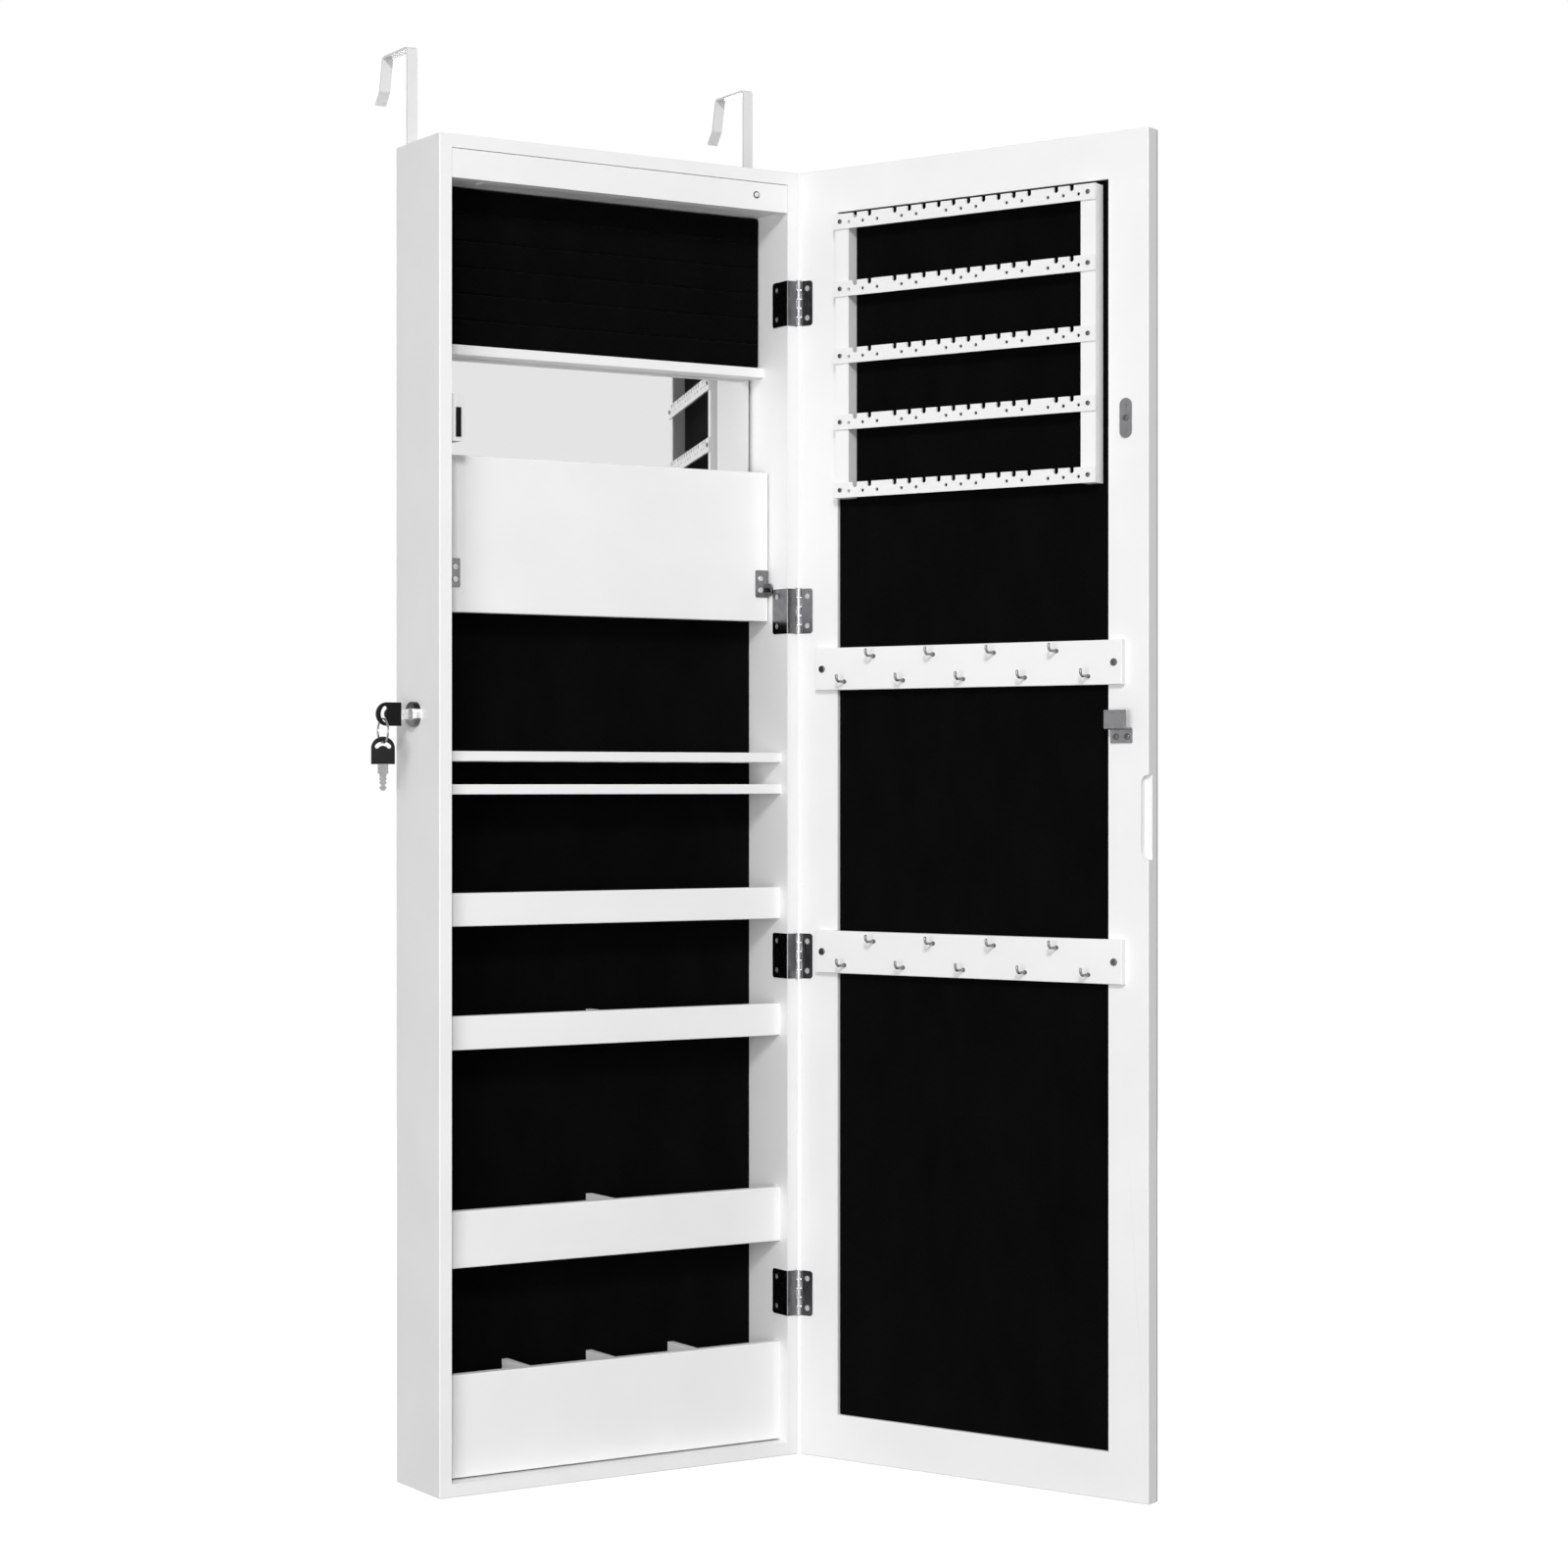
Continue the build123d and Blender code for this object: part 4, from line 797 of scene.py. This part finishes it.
class ARMOIRE_OT_stage(bpy.types.Operator):
    """Lays the floor and sets up the room light, three lamps and the camera."""

    bl_idname = "armoire.stage"
    bl_label = "Stage"

    def execute(self, context):
        stage = context.scene.armoire_stage
        low, high = CAD_BOX
        self.lay_floor(stage, low[2])
        self.light_room(context, stage)
        middle = Vector((0.0, low[1] / 4, (low[2] + high[2]) / 2))
        key, fill = (stage.key_far, stage.key_wide), (stage.fill_far, stage.fill_wide)
        self.hang_lamp(context, "key", middle, stage.key_way, *key, stage.key_watts)
        self.hang_lamp(context, "fill", middle, stage.fill_way, *fill, stage.fill_watts)
        self.hang_lamp(context, "back", middle, stage.back_way, *fill, stage.back_watts)
        self.place_camera(context, stage)
        context.scene.view_settings.view_transform = "Standard"
        return {"FINISHED"}

    def seen_directly(self, tree):
        """1 for the camera's own rays and for those in a reflection or through glass."""
        path = add(tree, "ShaderNodeLightPath").outputs
        either = add(tree, "ShaderNodeMath", {0: path["Is Camera Ray"], 1: path["Is Glossy Ray"]},
                     operation="MAXIMUM")
        return add(tree, "ShaderNodeMath", {0: either.outputs[0], 1: path["Is Transmission Ray"]},
                   operation="MAXIMUM").outputs[0]

    def lay_floor(self, stage, height):
        """A wide matt sheet just under the cabinet's foot, with a glow that keeps it as pale as the room."""
        reach, below = 15.0, 0.5 * MM
        bm = bmesh.new()
        bmesh.ops.create_grid(bm, x_segments=2, y_segments=2, size=reach,
                              matrix=Matrix.Translation((0, 0, height - below)))
        material, tree, place = start_material("pale_floor")
        tone = add(tree, "ShaderNodeMix", {
            0: speckle(tree, place, 400 * MM, 0.0, 1.0), 6: stage.floor_colour, 7: linear("#A2A2A1"),
        }, data_type="RGBA")
        matt = add(tree, "ShaderNodeBsdfDiffuse", {"Color": tone.outputs[2]}).outputs["BSDF"]
        glow = add(tree, "ShaderNodeEmission", {"Strength": stage.floor_glow}).outputs["Emission"]
        lit = add(tree, "ShaderNodeAddShader", {0: matt, 1: glow}).outputs["Shader"]
        shown = add(tree, "ShaderNodeMixShader", {0: self.seen_directly(tree), 1: matt, 2: lit})
        add(tree, "ShaderNodeOutputMaterial", {"Surface": shown.outputs["Shader"]})
        piece_from(bm, "floor", material)

    def light_room(self, context, stage):
        """White where it is seen, softer as a light, and weaker on one side."""
        world = bpy.data.worlds.new("studio")
        context.scene.world = world
        world.use_nodes = True
        tree = world.node_tree
        tree.nodes.clear()
        way = add(tree, "ShaderNodeTexCoord").outputs["Generated"]
        near = add(tree, "ShaderNodeVectorMath", {0: way, 1: stage.ambient_way}, operation="DOT_PRODUCT")
        shaded_from = -0.2
        level = add(tree, "ShaderNodeMapRange", {
            "Value": near.outputs["Value"], "From Min": shaded_from, "From Max": 1.0,
            "To Min": stage.ambient_far, "To Max": stage.ambient_near,
        }).outputs["Result"]
        soft = add(tree, "ShaderNodeBackground", {"Color": (1.0, 1.0, 1.0, 1.0), "Strength": level})
        white = add(tree, "ShaderNodeBackground", {"Color": (1.0, 1.0, 1.0, 1.0), "Strength": 1.0})
        shown = add(tree, "ShaderNodeMixShader",
                    {0: self.seen_directly(tree), 1: soft.outputs[0], 2: white.outputs[0]})
        add(tree, "ShaderNodeOutputWorld", {"Surface": shown.outputs["Shader"]})

    def hang_lamp(self, context, name, target, way, far, wide, watts):
        """A square soft box that looks at the target from far along a direction."""
        lamp = bpy.data.lights.new(name, "AREA")
        lamp.shape = "SQUARE"
        lamp.size = wide
        lamp.energy = watts
        holder = bpy.data.objects.new(name, lamp)
        way = Vector(way).normalized()
        holder.location = target + way * far
        holder.rotation_euler = way.to_track_quat("Z", "Y").to_euler()
        context.scene.collection.objects.link(holder)

    def place_camera(self, context, stage):
        """A level camera where the photograph was taken from."""
        camera = bpy.data.cameras.new("camera")
        camera.sensor_fit = "HORIZONTAL"
        camera.sensor_width = 36.0
        camera.lens = stage.camera_lens
        camera.clip_end = 100.0
        holder = bpy.data.objects.new("camera", camera)
        holder.location = stage.camera_place
        holder.rotation_euler = (math.radians(90), 0.0, stage.camera_turn)
        context.scene.collection.objects.link(holder)
        context.scene.camera = holder


OPERATORS = (
    ARMOIRE_OT_boards, ARMOIRE_OT_velvet_panels, ARMOIRE_OT_ring_cushion, ARMOIRE_OT_mirrors,
    ARMOIRE_OT_light, ARMOIRE_OT_plastics, ARMOIRE_OT_metalwork, ARMOIRE_OT_lock_and_keys, ARMOIRE_OT_stage,
)


class ARMOIRE_PT_panel(bpy.types.Panel):
    """Lists the armoire's pieces, finishes and sizes."""

    bl_idname = "ARMOIRE_PT_panel"
    bl_label = "Jewelry armoire"
    bl_space_type = "VIEW_3D"
    bl_region_type = "UI"
    bl_category = "Armoire"

    def draw(self, context):
        for operator in OPERATORS:
            self.layout.operator(operator.bl_idname)
        scene = context.scene
        for group in (scene.armoire_finishes, scene.armoire_sizes, scene.armoire_stage):
            column = self.layout.column()
            for name in group.__annotations__:
                column.prop(group, name)


CLASSES = (ArmoireFinishes, ArmoireSizes, ArmoireStage, *OPERATORS, ARMOIRE_PT_panel)


def register():
    for entry in CLASSES:
        bpy.utils.register_class(entry)
    bpy.types.Scene.armoire_finishes = bpy.props.PointerProperty(type=ArmoireFinishes)
    bpy.types.Scene.armoire_sizes = bpy.props.PointerProperty(type=ArmoireSizes)
    bpy.types.Scene.armoire_stage = bpy.props.PointerProperty(type=ArmoireStage)


def unregister():
    del bpy.types.Scene.armoire_stage
    del bpy.types.Scene.armoire_sizes
    del bpy.types.Scene.armoire_finishes
    for entry in reversed(CLASSES):
        bpy.utils.unregister_class(entry)


def main():
    global finishes, sizes
    register()
    finishes = bpy.context.scene.armoire_finishes
    sizes = bpy.context.scene.armoire_sizes
    for operator in OPERATORS:
        group, name = operator.bl_idname.split(".")
        getattr(getattr(bpy.ops, group), name)()


if __name__ == "__main__":
    main()
